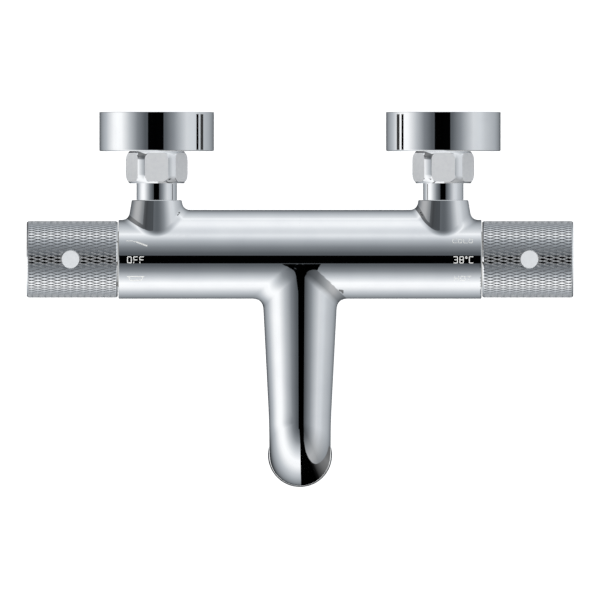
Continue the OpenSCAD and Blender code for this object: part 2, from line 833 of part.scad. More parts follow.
module shower_nipple() {
    flange_to = -nipple_flange_t - face_gap;
    chamfer = 0.8;
    r = hose_thread_d / 2;
    color(chrome) at_shower_outlet() difference() {
        union() {
            rod(nipple_thread_d - 2 * thread_fit, -cut, nipple_thread_len - 0.5);
            rod(shower_boss_d - 0.6, flange_to, -face_gap);
            rotate_extrude() polygon([
                [0, flange_to + cut], [r, flange_to + cut], [r, flange_to - hose_thread_len + chamfer],
                [r - chamfer, flange_to - hose_thread_len], [0, flange_to - hose_thread_len]
            ]);
        }
        rod(nipple_bore_d, flange_to - hose_thread_len - cut, nipple_thread_len + cut);
        seal_groove(nipple_thread_d - 2 * seated, nipple_ring_wire, nipple_thread_len / 2);
    }
}

module shower_nipple_ring() {
    color(rubber) at_shower_outlet()
        seal_ring(nipple_thread_d - 2 * seated, nipple_ring_wire, nipple_thread_len / 2);
}

// Cartridges: their outer end is the same, so that one lock nut and one handle fit both

module cartridge_head(from) {
    rod(flange_d, -lock_in - flange_t, -lock_in - face_gap);
    rod(neck_d, -from, neck_to);
    rod(stub_d, -from, stub_to);
}

module spindle_bore(from) {
    rod(spindle_d + 2 * run_fit, -from - cut, stub_to + cut);
}

module locknut(side) {
    color(brass) at_end(side) difference() {
        union() {
            rod(lock_thread_d - 2 * thread_fit, -lock_in, 0);
            translate([0, 0, -cut]) cylinder(h = lock_to + cut, d = lock_af / cos(30), $fn = 6);
        }
        rod(lock_bore_d, -lock_in - cut, lock_to + cut);
    }
}

// Ring on the cartridge that limits the handle's turn, with a lug on its face
module stop_ring(side) {
    lug_w = 3;
    lug_h = 1.6;
    color(acetal) at_end(side) {
        tube(stop_d, stub_d + 2 * run_fit, stop_from, stop_to - lug_h);
        intersection() {
            tube(stop_d, stub_d + 2 * run_fit, stop_from, stop_to);
            translate([-stop_d / 2, -lug_w / 2, stop_from]) cube([stop_d, lug_w, stop_to - stop_from]);
        }
    }
}

module thermo_housing() {
    color(acetal) at_end(1) difference() {
        union() {
            rod(thermo_housing_d, -housing_to, -lock_in - flange_t);
            cartridge_head(thermo_head);
        }
        rod(thermo_cavity_d, thermo_floor_t - housing_to, -thermo_head);
        rod(thermo_out_d, -housing_to - cut, -thermo_head);
        spindle_bore(thermo_head);
        for (window = [hot_window, cold_window])
            around(window_count)
                translate([0, -window_w / 2, -window[1]])
                    cube([thermo_d, window_w, window[1] - window[0]]);
        for (at = thermo_seals_at)
            seal_groove(thermo_d - 2 * seated, seal_wire, -at);
    }
}

module thermo_seals() {
    color(rubber) at_end(1)
        for (at = thermo_seals_at)
            seal_ring(thermo_d - 2 * seated, seal_wire, -at);
}

module thermo_spindle() {
    color(brass) at_end(1) difference() {
        union() {
            rod(spindle_d, -spindle_nose + cut, hub_to);
            rod(spindle_collar_d, -thermo_head - face_gap - spindle_collar_t, -thermo_head - face_gap);
            rod(spindle_nose_d, -spindle_nose, 0);
        }
        rod(screw_d + 2 * thread_fit, hub_to - screw_len - screw_room, hub_to + cut);
    }
}

module thermo_shuttle() {
    color(steel) at_end(1) tube(shuttle_d, shuttle_bore_d, -shuttle[1], -shuttle[0]);
}

module thermo_element() {
    color(brass) at_end(1) {
        rod(element_d, -element[1], -element[0]);
        rod(element_flange_d, -element_flange[1], -element_flange[0]);
        rod(piston_d, -element[0] - cut, -piston_tip);
    }
}

module thermo_return_spring() {
    color(steel) at_end(1)
        spring(return_coil_d, return_wire, return_turns, thermo_floor_t - housing_to + spring_gap,
               -element_flange[1] - spring_gap);
}

module flow_housing() {
    color(acetal) at_end(-1) difference() {
        union() {
            rod(flow_housing_d, -fixed_from, -lock_in - flange_t);
            cartridge_head(flow_head);
        }
        rod(flow_cavity_d, -fixed_from - cut, -flow_head);
        spindle_bore(flow_head);
        for (at = flow_seals_at)
            seal_groove(flow_d - 2 * seated, seal_wire, -at);
    }
}

module flow_seals() {
    color(rubber) at_end(-1)
        for (at = flow_seals_at)
            seal_ring(flow_d - 2 * seated, seal_wire, -at);
}

// Holes through a disc or gasket at the three ports; up is -X at an end of the body
module port_holes(from, to) {
    for (angle = [mixed_angle, bath_angle, shower_angle])
        translate([-port_at * sin(angle), port_at * cos(angle), 0]) rod(disc_port_d, from, to);
}

module flow_gasket() {
    color(rubber) at_end(-1) difference() {
        rod(flow_housing_d, -gasket_from, gasket_t - gasket_from);
        port_holes(-gasket_from - cut, cut);
    }
}

module flow_fixed_disc() {
    color(ceramic) at_end(-1) difference() {
        rod(disc_d, -fixed_from, disc_t - fixed_from);
        port_holes(-fixed_from - cut, cut);
    }
}

module flow_rotor_disc() {
    color(ceramic) at_end(-1) difference() {
        rod(rotor_d, -rotor_from, disc_t - rotor_from);
        translate([0, 0, -rotor_from - cut])
            rotate([0, 0, pocket_from])
                rotate_extrude(angle = pocket_sweep)
                    translate([port_at - disc_port_d / 2, 0]) square([disc_port_d, pocket_depth + cut]);
    }
}

module flow_spindle() {
    color(brass) at_end(-1) difference() {
        union() {
            rod(rotor_d, -carrier_from, carrier_t - carrier_from);
            rod(spindle_d, -carrier_from, hub_to);
        }
        rod(screw_d + 2 * thread_fit, hub_to - screw_len - screw_room, hub_to + cut);
    }
}

// Handles

// Radius of the knurl at a column and at a point round it: points and grooves alternate both ways
function knurl_radius(column, point) = handle_d / 2 - ((column + point) % 2 == 0 ? 0 : knurl_depth);

// Diamond knurl as one skin: every point of a diamond stands between four grooves
module knurled_skin() {
    span = handle_len - 2 * knurl_rim;
    columns = 2 * round(span / knurl_pitch);
    step = span / columns;
    sides = 2 * knurl_count;
    low = handle_d / 2 - knurl_depth;
    bevel = 0.4;
    bevel_len = 0.55;
    stations = concat([0, bevel_len], [for (i = [1 : columns - 1]) knurl_rim + i * step],
                      [handle_len - bevel_len, handle_len]);
    last = len(stations) - 1;
    points = [for (i = [0 : last], j = [0 : sides - 1])
        let (a = 360 * j / sides,
             rim = i == 0 || i == last, band = i == 1 || i == last - 1,
             r = rim ? low - bevel : band ? low : knurl_radius(i, j))
        [r * cos(a), r * sin(a), stations[i]]];
    // Each square between two columns is folded along the groove, from low corner to low corner
    folds = [for (i = [0 : last - 1], j = [0 : sides - 1])
        let (a = i * sides + j, b = i * sides + (j + 1) % sides,
             c = (i + 1) * sides + j, d = (i + 1) * sides + (j + 1) % sides)
        each ((i + j) % 2 == 0 ? [[a, c, b], [b, c, d]] : [[a, d, b], [a, c, d]])];
    bottom = [for (j = [0 : sides - 1]) j];
    top = [for (j = [sides - 1 : -1 : 0]) last * sides + j];
    polyhedron(points, concat([bottom, top], folds));
}

module handle_sleeve(side) {
    color(chrome) at_end(side) difference() {
        translate([0, 0, handle_from]) knurled_skin();
        rod(sleeve_bore_d, handle_from - cut, handle_to + cut);
        pointing_up(button_z) rod(button_hole_d, 0, handle_d);
    }
}

module handle_core(side) {
    skirt_bore_d = skirt_d - 2 * core_wall;
    color(acetal) at_end(side) difference() {
        union() {
            tube(skirt_d, skirt_bore_d, core_from, core_to);
            rod(skirt_d - core_wall, web_from, web_to);
            rod(core_hub_d, hub_from, hub_to);
            intersection() {
                pointing_up(button_z) rod(button_guide_d, guide_floor, skirt_d);
                rod(skirt_d - core_wall, core_from, core_to);
            }
        }
        rod(spindle_d + 2 * run_fit, core_from - cut, core_to + cut);
        pointing_up(button_z) {
            rod(button_flange_d + 2 * run_fit, guide_floor + guide_floor_t, skirt_d);
            rod(button_stem_d + 2 * run_fit, guide_floor - cut, skirt_d);
        }
    }
}

module handle_screw(side) {
    key_af = 3;
    key_depth = 2.4;
    color(steel) at_end(side) difference() {
        union() {
            rod(screw_d, hub_to - screw_len, hub_to + cut);
            rod(screw_head_d, hub_to + face_gap, hub_to + screw_head_t);
        }
        translate([0, 0, hub_to + screw_head_t - key_depth])
            cylinder(h = key_depth + cut, d = key_af / cos(30), $fn = 6);
    }
}

module handle_cap(side) {
    cap_to = handle_to - cap_recess;
    edge = 0.4;
    r = sleeve_bore_d / 2 - run_fit;
    rim_d = skirt_d - 2 * core_wall - 2 * run_fit;
    color(chrome) at_end(side) {
        rotate_extrude() polygon([
            [0, cap_from], [r, cap_from], [r, cap_to - edge], [r - edge, cap_to], [0, cap_to]
        ]);
        tube(rim_d, rim_d - 2 * cap_rim_wall, cap_from - cap_rim_len, cap_from + edge);
    }
}

module button(side) {
    edge = 0.35;
    r = button_d / 2;
    color(satin) at_end(side) pointing_up(button_z) {
        rotate_extrude() polygon([
            [0, button_flange_top - button_flange_t], [r, button_flange_top - button_flange_t],
            [r, button_top - edge], [r - edge, button_top], [0, button_top]
        ]);
        rod(button_flange_d, button_flange_top - button_flange_t, button_flange_top);
        rod(button_stem_d, button_stem_end, button_flange_top);
    }
}

module button_spring(side) {
    color(steel) at_end(side) pointing_up(button_z)
        spring(button_coil_d, button_wire, button_turns, guide_floor + guide_floor_t + spring_gap,
               button_flange_top - button_flange_t - spring_gap);
}

body_casting();
aerator_housing();
aerator_insert();
aerator_washer();
shower_nipple();
shower_nipple_ring();
wall_plate(-1);  // hot_wall_plate
pipe_olive(-1);  // hot_pipe_olive
gland_nut(-1);  // hot_gland_nut
shroud(-1);  // hot_shroud
shroud_ring(-1);  // hot_shroud_ring
union_nut(-1);  // hot_union_nut
filter_washer(-1);  // hot_filter_washer
inlet_tail(-1);  // hot_inlet_tail
check_cage(-1);  // hot_check_cage
check_poppet(-1);  // hot_check_poppet
check_spring(-1);  // hot_check_spring
wall_plate(1);  // cold_wall_plate
pipe_olive(1);  // cold_pipe_olive
gland_nut(1);  // cold_gland_nut
shroud(1);  // cold_shroud
shroud_ring(1);  // cold_shroud_ring
union_nut(1);  // cold_union_nut
filter_washer(1);  // cold_filter_washer
inlet_tail(1);  // cold_inlet_tail
check_cage(1);  // cold_check_cage
check_poppet(1);  // cold_check_poppet
check_spring(1);  // cold_check_spring
thermo_housing();
thermo_seals();
locknut(1);  // thermo_locknut
stop_ring(1);  // thermo_stop_ring
thermo_spindle();
thermo_shuttle();
thermo_element();
thermo_return_spring();
flow_housing();
flow_seals();
locknut(-1);  // flow_locknut
stop_ring(-1);  // flow_stop_ring
flow_spindle();
flow_rotor_disc();
flow_fixed_disc();
flow_gasket();
handle_sleeve(1);  // temp_handle_sleeve
handle_core(1);  // temp_handle_core
handle_screw(1);  // temp_handle_screw
handle_cap(1);  // temp_handle_cap
button(1);  // temp_button
button_spring(1);  // temp_button_spring
handle_sleeve(-1);  // flow_handle_sleeve
handle_core(-1);  // flow_handle_core
handle_screw(-1);  // flow_handle_screw
handle_cap(-1);  // flow_handle_cap
button(-1);  // flow_button
button_spring(-1);  // flow_button_spring
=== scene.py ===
"""Looks of a wall-mounted thermostatic bath mixer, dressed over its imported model.

All shapes are worked out in millimetres in the object's own frame: X runs to the temperature handle, Y into
the wall and Z up, with the origin on the wall, midway between the two inlets.
"""
import json
import logging
import math
from dataclasses import dataclass, field
from enum import Enum

import bmesh
import bpy
import numpy as np
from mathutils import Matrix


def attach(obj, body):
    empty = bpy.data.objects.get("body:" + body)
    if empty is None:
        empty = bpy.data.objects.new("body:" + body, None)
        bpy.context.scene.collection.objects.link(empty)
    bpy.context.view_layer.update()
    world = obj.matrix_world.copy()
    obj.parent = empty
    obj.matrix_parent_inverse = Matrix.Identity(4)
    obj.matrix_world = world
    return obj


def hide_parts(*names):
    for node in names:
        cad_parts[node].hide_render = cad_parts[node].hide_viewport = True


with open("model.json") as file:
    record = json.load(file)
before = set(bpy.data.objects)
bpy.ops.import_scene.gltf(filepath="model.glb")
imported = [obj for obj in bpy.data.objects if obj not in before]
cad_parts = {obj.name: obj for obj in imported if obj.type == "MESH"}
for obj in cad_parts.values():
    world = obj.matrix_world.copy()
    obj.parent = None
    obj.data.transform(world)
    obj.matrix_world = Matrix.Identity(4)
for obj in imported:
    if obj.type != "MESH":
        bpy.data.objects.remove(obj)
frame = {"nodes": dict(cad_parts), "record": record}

LOG = logging.getLogger("bath_mixer")
MM = 0.001
# Places that several pieces share, in millimetres: the tube's axis and radius, the inlets, and the two outlets
AXIS_BACK = -77.1
TUBE_R = 20.7
INLET_AT = 75.0
SHOWER_AT = -30.0
OUTLET_AT = -179.7


class Side(Enum):
    """End of the mixer, as the sign of its X."""

    HOT = -1
    COLD = 1


class Body(Enum):
    """Moving group that a piece rides on."""

    ROOT = "root"
    TEMP_HANDLE = "temp_handle"
    FLOW_HANDLE = "flow_handle"
    TEMP_BUTTON = "temp_button"
    FLOW_BUTTON = "flow_button"


class Slot(Enum):
    """Material slot that the record names."""

    CHROME = "chrome"
    KNURLED_CHROME = "knurled_chrome"
    NUT_CHROME = "nut_chrome"
    BUTTON_GREY = "button_grey"
    BRASS = "brass"
    SPRING_STEEL = "spring_steel"
    ACETAL = "acetal"
    CERAMIC = "ceramic"
    AERATOR_MESH = "aerator_mesh"
    RUBBER = "rubber"


# Shader nodes and finishes


def linear(colour: str) -> tuple[float, float, float, float]:
    """Turn a hex colour into the linear values that shaders take.

    Each channel c in 0..1 becomes c / 12.92 below 0.04045, else ((c + 0.055) / 1.055) to the power 2.4.

    Args:
        colour: Colour such as "#d8dadc".

    Returns:
        Linear red, green and blue, and an alpha of 1.
    """
    channels = np.array([int(colour[i:i + 2], 16) for i in (1, 3, 5)]) / 255
    values = np.where(channels <= 0.04045, channels / 12.92, ((channels + 0.055) / 1.055) ** 2.4)
    return (*values.tolist(), 1.0)


def grey(level: float) -> str:
    """Return the hex colour of a grey whose level runs from 0 to 255."""
    return "#" + f"{int(round(level)):02x}" * 3


def add_node(tree: bpy.types.NodeTree, kind: str, inputs: dict | None = None, **settings) -> bpy.types.Node:
    """Add a shader node, set its options, and fill or link its inputs.

    Args:
        tree: Node tree that takes the node.
        kind: Blender's name of the node type.
        inputs: Values or output sockets for its inputs, by name or number.
        **settings: Options of the node.

    Returns:
        The new node.
    """
    node = tree.nodes.new(kind)
    for name, value in settings.items():
        setattr(node, name, value)
    for name, value in (inputs or {}).items():
        if isinstance(value, bpy.types.NodeSocket):
            tree.links.new(value, node.inputs[name])
        else:
            node.inputs[name].default_value = value
    return node


def clear_tree(owner: bpy.types.ID) -> bpy.types.NodeTree:
    """Give a material or world an empty node tree.

    Args:
        owner: The material or world.

    Returns:
        The empty tree.
    """
    owner.use_nodes = True
    owner.node_tree.nodes.clear()
    return owner.node_tree


@dataclass(frozen=True)
class Value:
    """Number that shader nodes work out, so that a formula over them reads as one."""

    tree: bpy.types.NodeTree
    socket: bpy.types.NodeSocket

    def by(self, operation: str, *others: "Value | float") -> "Value":
        """Return the result of a math operation on this value and the others."""
        inputs = {i: getattr(item, "socket", item) for i, item in enumerate((self, *others))}
        return Value(self.tree, add_node(self.tree, "ShaderNodeMath", inputs, operation=operation).outputs[0])

    def __add__(self, other: "Value | float") -> "Value":
        """Return the sum."""
        return self.by("ADD", other)

    def __sub__(self, other: "Value | float") -> "Value":
        """Return the difference."""
        return self.by("SUBTRACT", other)

    def __mul__(self, other: "Value | float") -> "Value":
        """Return the product."""
        return self.by("MULTIPLY", other)

    def __truediv__(self, other: "Value | float") -> "Value":
        """Return the quotient."""
        return self.by("DIVIDE", other)

    def carried(self, start: float, end: float, low: float = 0.0, high: float = 1.0) -> "Value":
        """Carry the value from start..end to low..high in a straight line, held at both ends."""
        node = add_node(self.tree, "ShaderNodeMapRange", {
            "Value": self.socket, "From Min": start, "From Max": end, "To Min": low, "To Max": high})
        return Value(self.tree, node.outputs["Result"])

    def within(self, low: float, high: float, soft: float) -> "Value":
        """Return 1 where the value lies between two limits and 0 outside, with edges of a soft width."""
        rise = self.carried(low - soft / 2, low + soft / 2)
        return rise * self.carried(high - soft / 2, high + soft / 2, 1.0, 0.0)

    def blend(self, first: str | bpy.types.NodeSocket, second: str) -> bpy.types.NodeSocket:
        """Mix two colours by this value.

        Args:
            first: Colour where the value is 0, as a hex colour or a socket.
            second: Colour where it is 1.

        Returns:
            Socket of the mixed colour.
        """
        start = linear(first) if isinstance(first, str) else first
        node = add_node(self.tree, "ShaderNodeMix", {0: self.socket, 6: start, 7: linear(second)}, data_type="RGBA")
        return node.outputs[2]


def waves(tree: bpy.types.NodeTree, length: float, detail: float = 2.0) -> Value:
    """Add soft noise whose blots have a real size.

    Args:
        tree: Node tree that takes the noise.
        length: About how wide a blot is, in millimetres.
        detail: Number of finer layers.

    Returns:
        Noise from 0 to 1.
    """
    place = add_node(tree, "ShaderNodeTexCoord")
    node = add_node(tree, "ShaderNodeTexNoise", {
        "Vector": place.outputs["Object"], "Scale": 1 / (length * MM), "Detail": detail})
    return Value(tree, node.outputs["Fac"])


@dataclass(frozen=True)
class Finish:
    """Finish of one kind of surface, with its texture sizes in millimetres.

    The colour wanders towards its shade in blots, the roughness wanders round its mean in the same blots, and
    a finer grain raises and lowers the surface by its height. Where a groove shade is given, shade is painted
    into the colour where the mesh's relief is low.
    """

    name: str
    colour: str
    shade: str
    metallic: float = 0.0
    roughness: float = 0.4
    wander: float = 0.05
    blots: float = 6.0
    grain: float = 0.5
    grain_height: float = 0.0
    painted_groove_shade: str = ""

    def material(self) -> bpy.types.Material:
        """Return this finish's material, made on the first call.

        Returns:
            Material with the finish's nodes.
        """
        made = bpy.data.materials.get(self.name)
        if made:
            return made
        made = bpy.data.materials.new(self.name)
        tree = clear_tree(made)
        blots = waves(tree, self.blots)
        colour = blots.carried(0.35, 0.75).blend(self.colour, self.shade)
        rough = blots.carried(0.3, 0.7, self.roughness - self.wander, self.roughness + self.wander).socket
        # Painted shade: the colour darkens towards the groove shade where the mesh's relief is low, in the knurl's
        # grooves.
        if self.painted_groove_shade:
            colour = self.shade_painted_in_grooves(tree, colour)
        shader = add_node(tree, "ShaderNodeBsdfPrincipled", {
            "Base Color": colour, "Roughness": rough, "Metallic": self.metallic})
        if self.grain_height:
            bump = add_node(tree, "ShaderNodeBump", {
                "Height": waves(tree, self.grain, 3.0).socket, "Distance": self.grain_height * MM})
            tree.links.new(bump.outputs["Normal"], shader.inputs["Normal"])
        add_node(tree, "ShaderNodeOutputMaterial", {"Surface": shader.outputs["BSDF"]})
        return made

    def shade_painted_in_grooves(self, tree: bpy.types.NodeTree, colour: bpy.types.NodeSocket) -> bpy.types.NodeSocket:
        """Darken a colour with painted shade where the mesh's relief attribute says that the surface lies low, in
        the grooves.

        Args:
            tree: The finish's node tree.
            colour: Socket of the plain colour.

        Returns:
            Socket of the colour with painted shade in the grooves.
        """
        relief = add_node(tree, "ShaderNodeAttribute", attribute_name="relief")
        return Value(tree, relief.outputs["Fac"]).carried(0.1, 1.0, 1.0, 0.0).blend(colour, self.painted_groove_shade)


# Electroplated and buffed: the buffing leaves long, very faint waves that just soften straight reflections.
POLISHED_CHROME = Finish("polished_chrome_plate", "#eef0f2", "#e9ebee", metallic=1.0, roughness=0.035,
                         wander=0.015, blots=14, grain=9.0, grain_height=0.004)
# Rolled knurl, plated after rolling: crisp tops, and grooves darkened with painted shade.
KNURLED_CHROME = Finish("knurled_chrome_plate", "#eef0f2", "#e6e8eb", metallic=1.0, roughness=0.05, wander=0.02,
                        blots=3, painted_groove_shade="#333436")
# Flats milled after turning and plated without buffing: they scatter light and read as one even pale grey.
MILLED_FLAT = Finish("milled_satin_chrome", "#dcddde", "#d6d7d9", metallic=0.25, roughness=0.5, wander=0.05,
                     blots=2, grain=0.35, grain_height=0.004)
# Push button moulded in light grey ABS: an even tone with the faint grain of a spark-eroded mould.
BUTTON_GREY = Finish("moulded_light_grey_abs", "#d8dadc", "#d2d4d6", roughness=0.42, blots=4, grain=0.25,
                     grain_height=0.006)
# Turned brass left bare on hidden pieces: warm, with tool marks that blur its reflections.
TURNED_BRASS = Finish("turned_bare_brass", "#c9a254", "#b98f45", metallic=1.0, roughness=0.3, wander=0.08,
                      blots=5, grain=0.3, grain_height=0.004)
# Brass of the wall plates, nickel plated over the turning marks: a warm grey that no gap shows as yellow.
NICKEL_PLATE = Finish("nickel_plated_brass", "#c9c6bf", "#bcb9b2", metallic=1.0, roughness=0.24, wander=0.05,
                      blots=5, grain=0.3, grain_height=0.003)
# Drawn stainless wire and turned screws.
SPRING_STEEL = Finish("drawn_stainless_steel", "#b4b8bc", "#a3a7ab", metallic=1.0, roughness=0.28, wander=0.08,
                      blots=2, grain=0.2, grain_height=0.003)
# Machined acetal of cartridges and handle cores: milky and slightly waxy.
ACETAL = Finish("machined_white_acetal", "#ecebe4", "#e2e0d6", roughness=0.38, blots=5, grain=0.3,
                grain_height=0.004)
# Lapped ceramic discs: near white and very smooth.
CERAMIC = Finish("lapped_alumina_ceramic", "#f4f1ea", "#ece8de", roughness=0.16, wander=0.04, blots=3,
                 grain=0.15, grain_height=0.001)
# Moulded grey plastic of the aerator's jet plate.
AERATOR_GREY = Finish("moulded_grey_aerator_plastic", "#8d9196", "#7f8388", roughness=0.4, blots=2, grain=0.2,
                      grain_height=0.004)
# Nitrile rubber of rings and washers: nearly black, with a dull bloom.
RUBBER = Finish("moulded_nitrile_rubber", "#2b2c2e", "#3a3b3d", roughness=0.62, wander=0.1, blots=2,
                grain=0.2, grain_height=0.006)
# Pad-printed marks: flat, nearly white ink a few hundredths of a millimetre thick.
PRINT_INK = Finish("pad_printed_white_ink", "#e6e6e3", "#dfdfdb", roughness=0.55, blots=1, grain=0.1,
                   grain_height=0.002)

SLOT_FINISH = {
    Slot.CHROME: POLISHED_CHROME, Slot.KNURLED_CHROME: KNURLED_CHROME, Slot.NUT_CHROME: POLISHED_CHROME,
    Slot.BUTTON_GREY: BUTTON_GREY, Slot.BRASS: TURNED_BRASS, Slot.SPRING_STEEL: SPRING_STEEL,
    Slot.ACETAL: ACETAL, Slot.CERAMIC: CERAMIC, Slot.AERATOR_MESH: AERATOR_GREY, Slot.RUBBER: RUBBER,
}
# CAD nodes whose finish isn't that of their slot
NODE_FINISH = {name: NICKEL_PLATE for name in (
    "hot_wall_plate", "cold_wall_plate", "thermo_locknut", "flow_locknut", "thermo_stop_ring", "flow_stop_ring")}


# Surfaces


@dataclass
class Surface:
    """Points in millimetres with the faces between them.

    A face has four corners, or three and then -1. Each has the number of its finish. A point may carry the
    true normal of the skin that it lies on, else zero, and its relief from 0, low, to 1, high.
    """

    points: np.ndarray
    faces: np.ndarray
    finish: np.ndarray
    normals: np.ndarray
    relief: np.ndarray


def grid_faces(rows: int, columns: int, wrap_rows: bool = False, wrap_columns: bool = True) -> np.ndarray:
    """Number the four-cornered faces of a grid of points.

    Args:
        rows: Rows of the grid.
        columns: Points in a row.
        wrap_rows: Whether the last row joins the first.
        wrap_columns: Whether the last column joins the first.

    Returns:
        Faces, four numbers each.
    """
    i = np.arange(rows if wrap_rows else rows - 1)[:, None]
    j = np.arange(columns if wrap_columns else columns - 1)[None, :]
    near, far = (i % rows) * columns, ((i + 1) % rows) * columns
    left, right = j % columns, (j + 1) % columns
    return np.stack([near + left, near + right, far + right, far + left], axis=-1).reshape(-1, 4)


def surface(points: np.ndarray, faces: np.ndarray, finish: np.ndarray | int = 0,
            normals: np.ndarray | None = None, relief: np.ndarray | None = None) -> Surface:
    """Gather points and faces into a surface, and fill in what isn't given.

    Args:
        points: Points in any grid shape, in millimetres.
        faces: Faces, four numbers each.
        finish: Number of the finish, for all faces or for each.
        normals: True normals of the points, if known.
        relief: Relief of the points, if they have one.

    Returns:
        The surface.
    """
    flat = points.reshape(-1, 3)
    return Surface(
        flat, faces, np.broadcast_to(finish, len(faces)).astype(np.int32),
        np.zeros_like(flat) if normals is None else normals.reshape(-1, 3),
        np.ones(len(flat)) if relief is None else relief.reshape(-1))


def joined(parts: list[Surface]) -> Surface:
    """Put several surfaces into one, with their faces renumbered.

    Args:
        parts: The surfaces.

    Returns:
        One surface.
    """
    starts = np.cumsum([0] + [len(part.points) for part in parts[:-1]])
    faces = [np.where(part.faces < 0, -1, part.faces + start) for part, start in zip(parts, starts)]
    return Surface(
        np.concatenate([part.points for part in parts]), np.concatenate(faces),
        np.concatenate([part.finish for part in parts]), np.concatenate([part.normals for part in parts]),
        np.concatenate([part.relief for part in parts]))


def arc(centre: tuple[float, float], radius: float, start: float, end: float, steps: int = 6) -> np.ndarray:
    """Return points of a flat arc: centre plus radius times the cosine and sine of an angle in degrees."""
    angle = np.radians(np.linspace(start, end, steps + 1))
    return np.array(centre) + radius * np.stack([np.cos(angle), np.sin(angle)], axis=-1)


def tri(t: np.ndarray) -> np.ndarray:
    """Return the triangle wave that is 0 at whole numbers and 1 midway between them."""
    return 1 - np.abs(2 * (t - np.floor(t)) - 1)


def full_turn(sides: int) -> np.ndarray:
    """Return angles in radians, evenly round a circle, as one row."""
    return np.linspace(0, 2 * np.pi, sides, endpoint=False)[None, :]


def nearest(values: np.ndarray, low: float, high: float) -> tuple[int, int]:
    """Return the places of the values that are nearest to a low and a high one."""
    return tuple(int(np.argmin(np.abs(values - wanted))) for wanted in (low, high))


def rounded(corners: list[tuple[float, float]], radii: list[float], closed: bool = False, steps: int = 6,
            hold: float = 0.03) -> np.ndarray:
    """Round the corners of a flat line.

    A corner of radius r turning by an angle t is cut r tan(t / 2) before and after it, and an arc of that
    radius joins the two cuts. A point is held just outside each end of the arc, so that smooth shading stays
    on the arc and the straight runs stay flat.

    Args:
        corners: Corners of the line.
        radii: Radius at each corner, 0 for a sharp one.
        closed: Whether the last corner joins the first.
        steps: Steps along each arc.
        hold: Distance from an arc's end to its held point.

    Returns:
        Points along the line.
    """
    line = np.array(corners, dtype=float)
    parts = []
    for i, radius in enumerate(radii):
        if radius <= 0 or (not closed and i in (0, len(line) - 1)):
            parts.append(line[i:i + 1])
            continue
        into = line[i] - line[i - 1]
        away = line[(i + 1) % len(line)] - line[i]
        into, away = into / np.linalg.norm(into), away / np.linalg.norm(away)
        turn = math.atan2(into[0] * away[1] - into[1] * away[0], into @ away)
        cut_back = radius * math.tan(abs(turn) / 2)
        first, last = line[i] - into * cut_back, line[i] + away * cut_back
        inward = math.copysign(1, turn) * np.array([-into[1], into[0]])
        centre = first + radius * inward
        start = math.atan2(*(first - centre)[::-1])
        curve = arc(tuple(centre), radius, math.degrees(start), math.degrees(start + turn), steps)
        parts.append(np.vstack([first - into * hold, curve, last + away * hold]))
    return np.vstack(parts)


@dataclass(frozen=True)
class Axis:
    """Axis that a piece is turned round: station 0 lies at its origin, and stations grow along it."""

    origin: tuple[float, float, float]
    along: tuple[float, float, float]
    first: tuple[float, float, float]

    def place(self, radius: np.ndarray, angle: np.ndarray, station: np.ndarray) -> np.ndarray:
        """Return points from their radius, angle and station.

        A point is the origin, plus the station along the axis, plus the radius times the angle's cosine along
        the first direction and its sine along the direction square to both.

        Args:
            radius: Distances from the axis.
            angle: Angles round it in radians.
            station: Distances along it.

        Returns:
            Points in the object's frame.
        """
        along, first = np.array(self.along, float), np.array(self.first, float)
        second = np.cross(along, first)
        radius, angle, station = np.broadcast_arrays(radius, angle, station)
        across = np.cos(angle)[..., None] * first + np.sin(angle)[..., None] * second
        return np.array(self.origin) + station[..., None] * along + radius[..., None] * across


def upright(across: float, back: float) -> Axis:
    """Return the upright axis through a place in plan, with its first direction along X."""
    return Axis((across, back, 0), (0, 0, 1), (1, 0, 0))


def turned(profile: np.ndarray, axis: Axis, sides: int = 180, closed: bool = False) -> Surface:
    """Turn a profile of radii and stations round an axis.

    Args:
        profile: Rows of radius and station.
        axis: Axis of the turning.
        sides: Points round the axis.
        closed: Whether the profile joins up with itself.

    Returns:
        The turned surface.
    """
    points = axis.place(profile[:, :1], full_turn(sides), profile[:, 1:])
    return surface(points, grid_faces(len(profile), sides, wrap_rows=closed))


def placed(name: str, data: bpy.types.ID) -> bpy.types.Object:
    """Put an object into the scene.

    Args:
        name: Its name.
        data: Its mesh, camera or light.

    Returns:
        The object.
    """
    made = bpy.data.objects.new(name, data)
    bpy.context.scene.collection.objects.link(made)
    return made


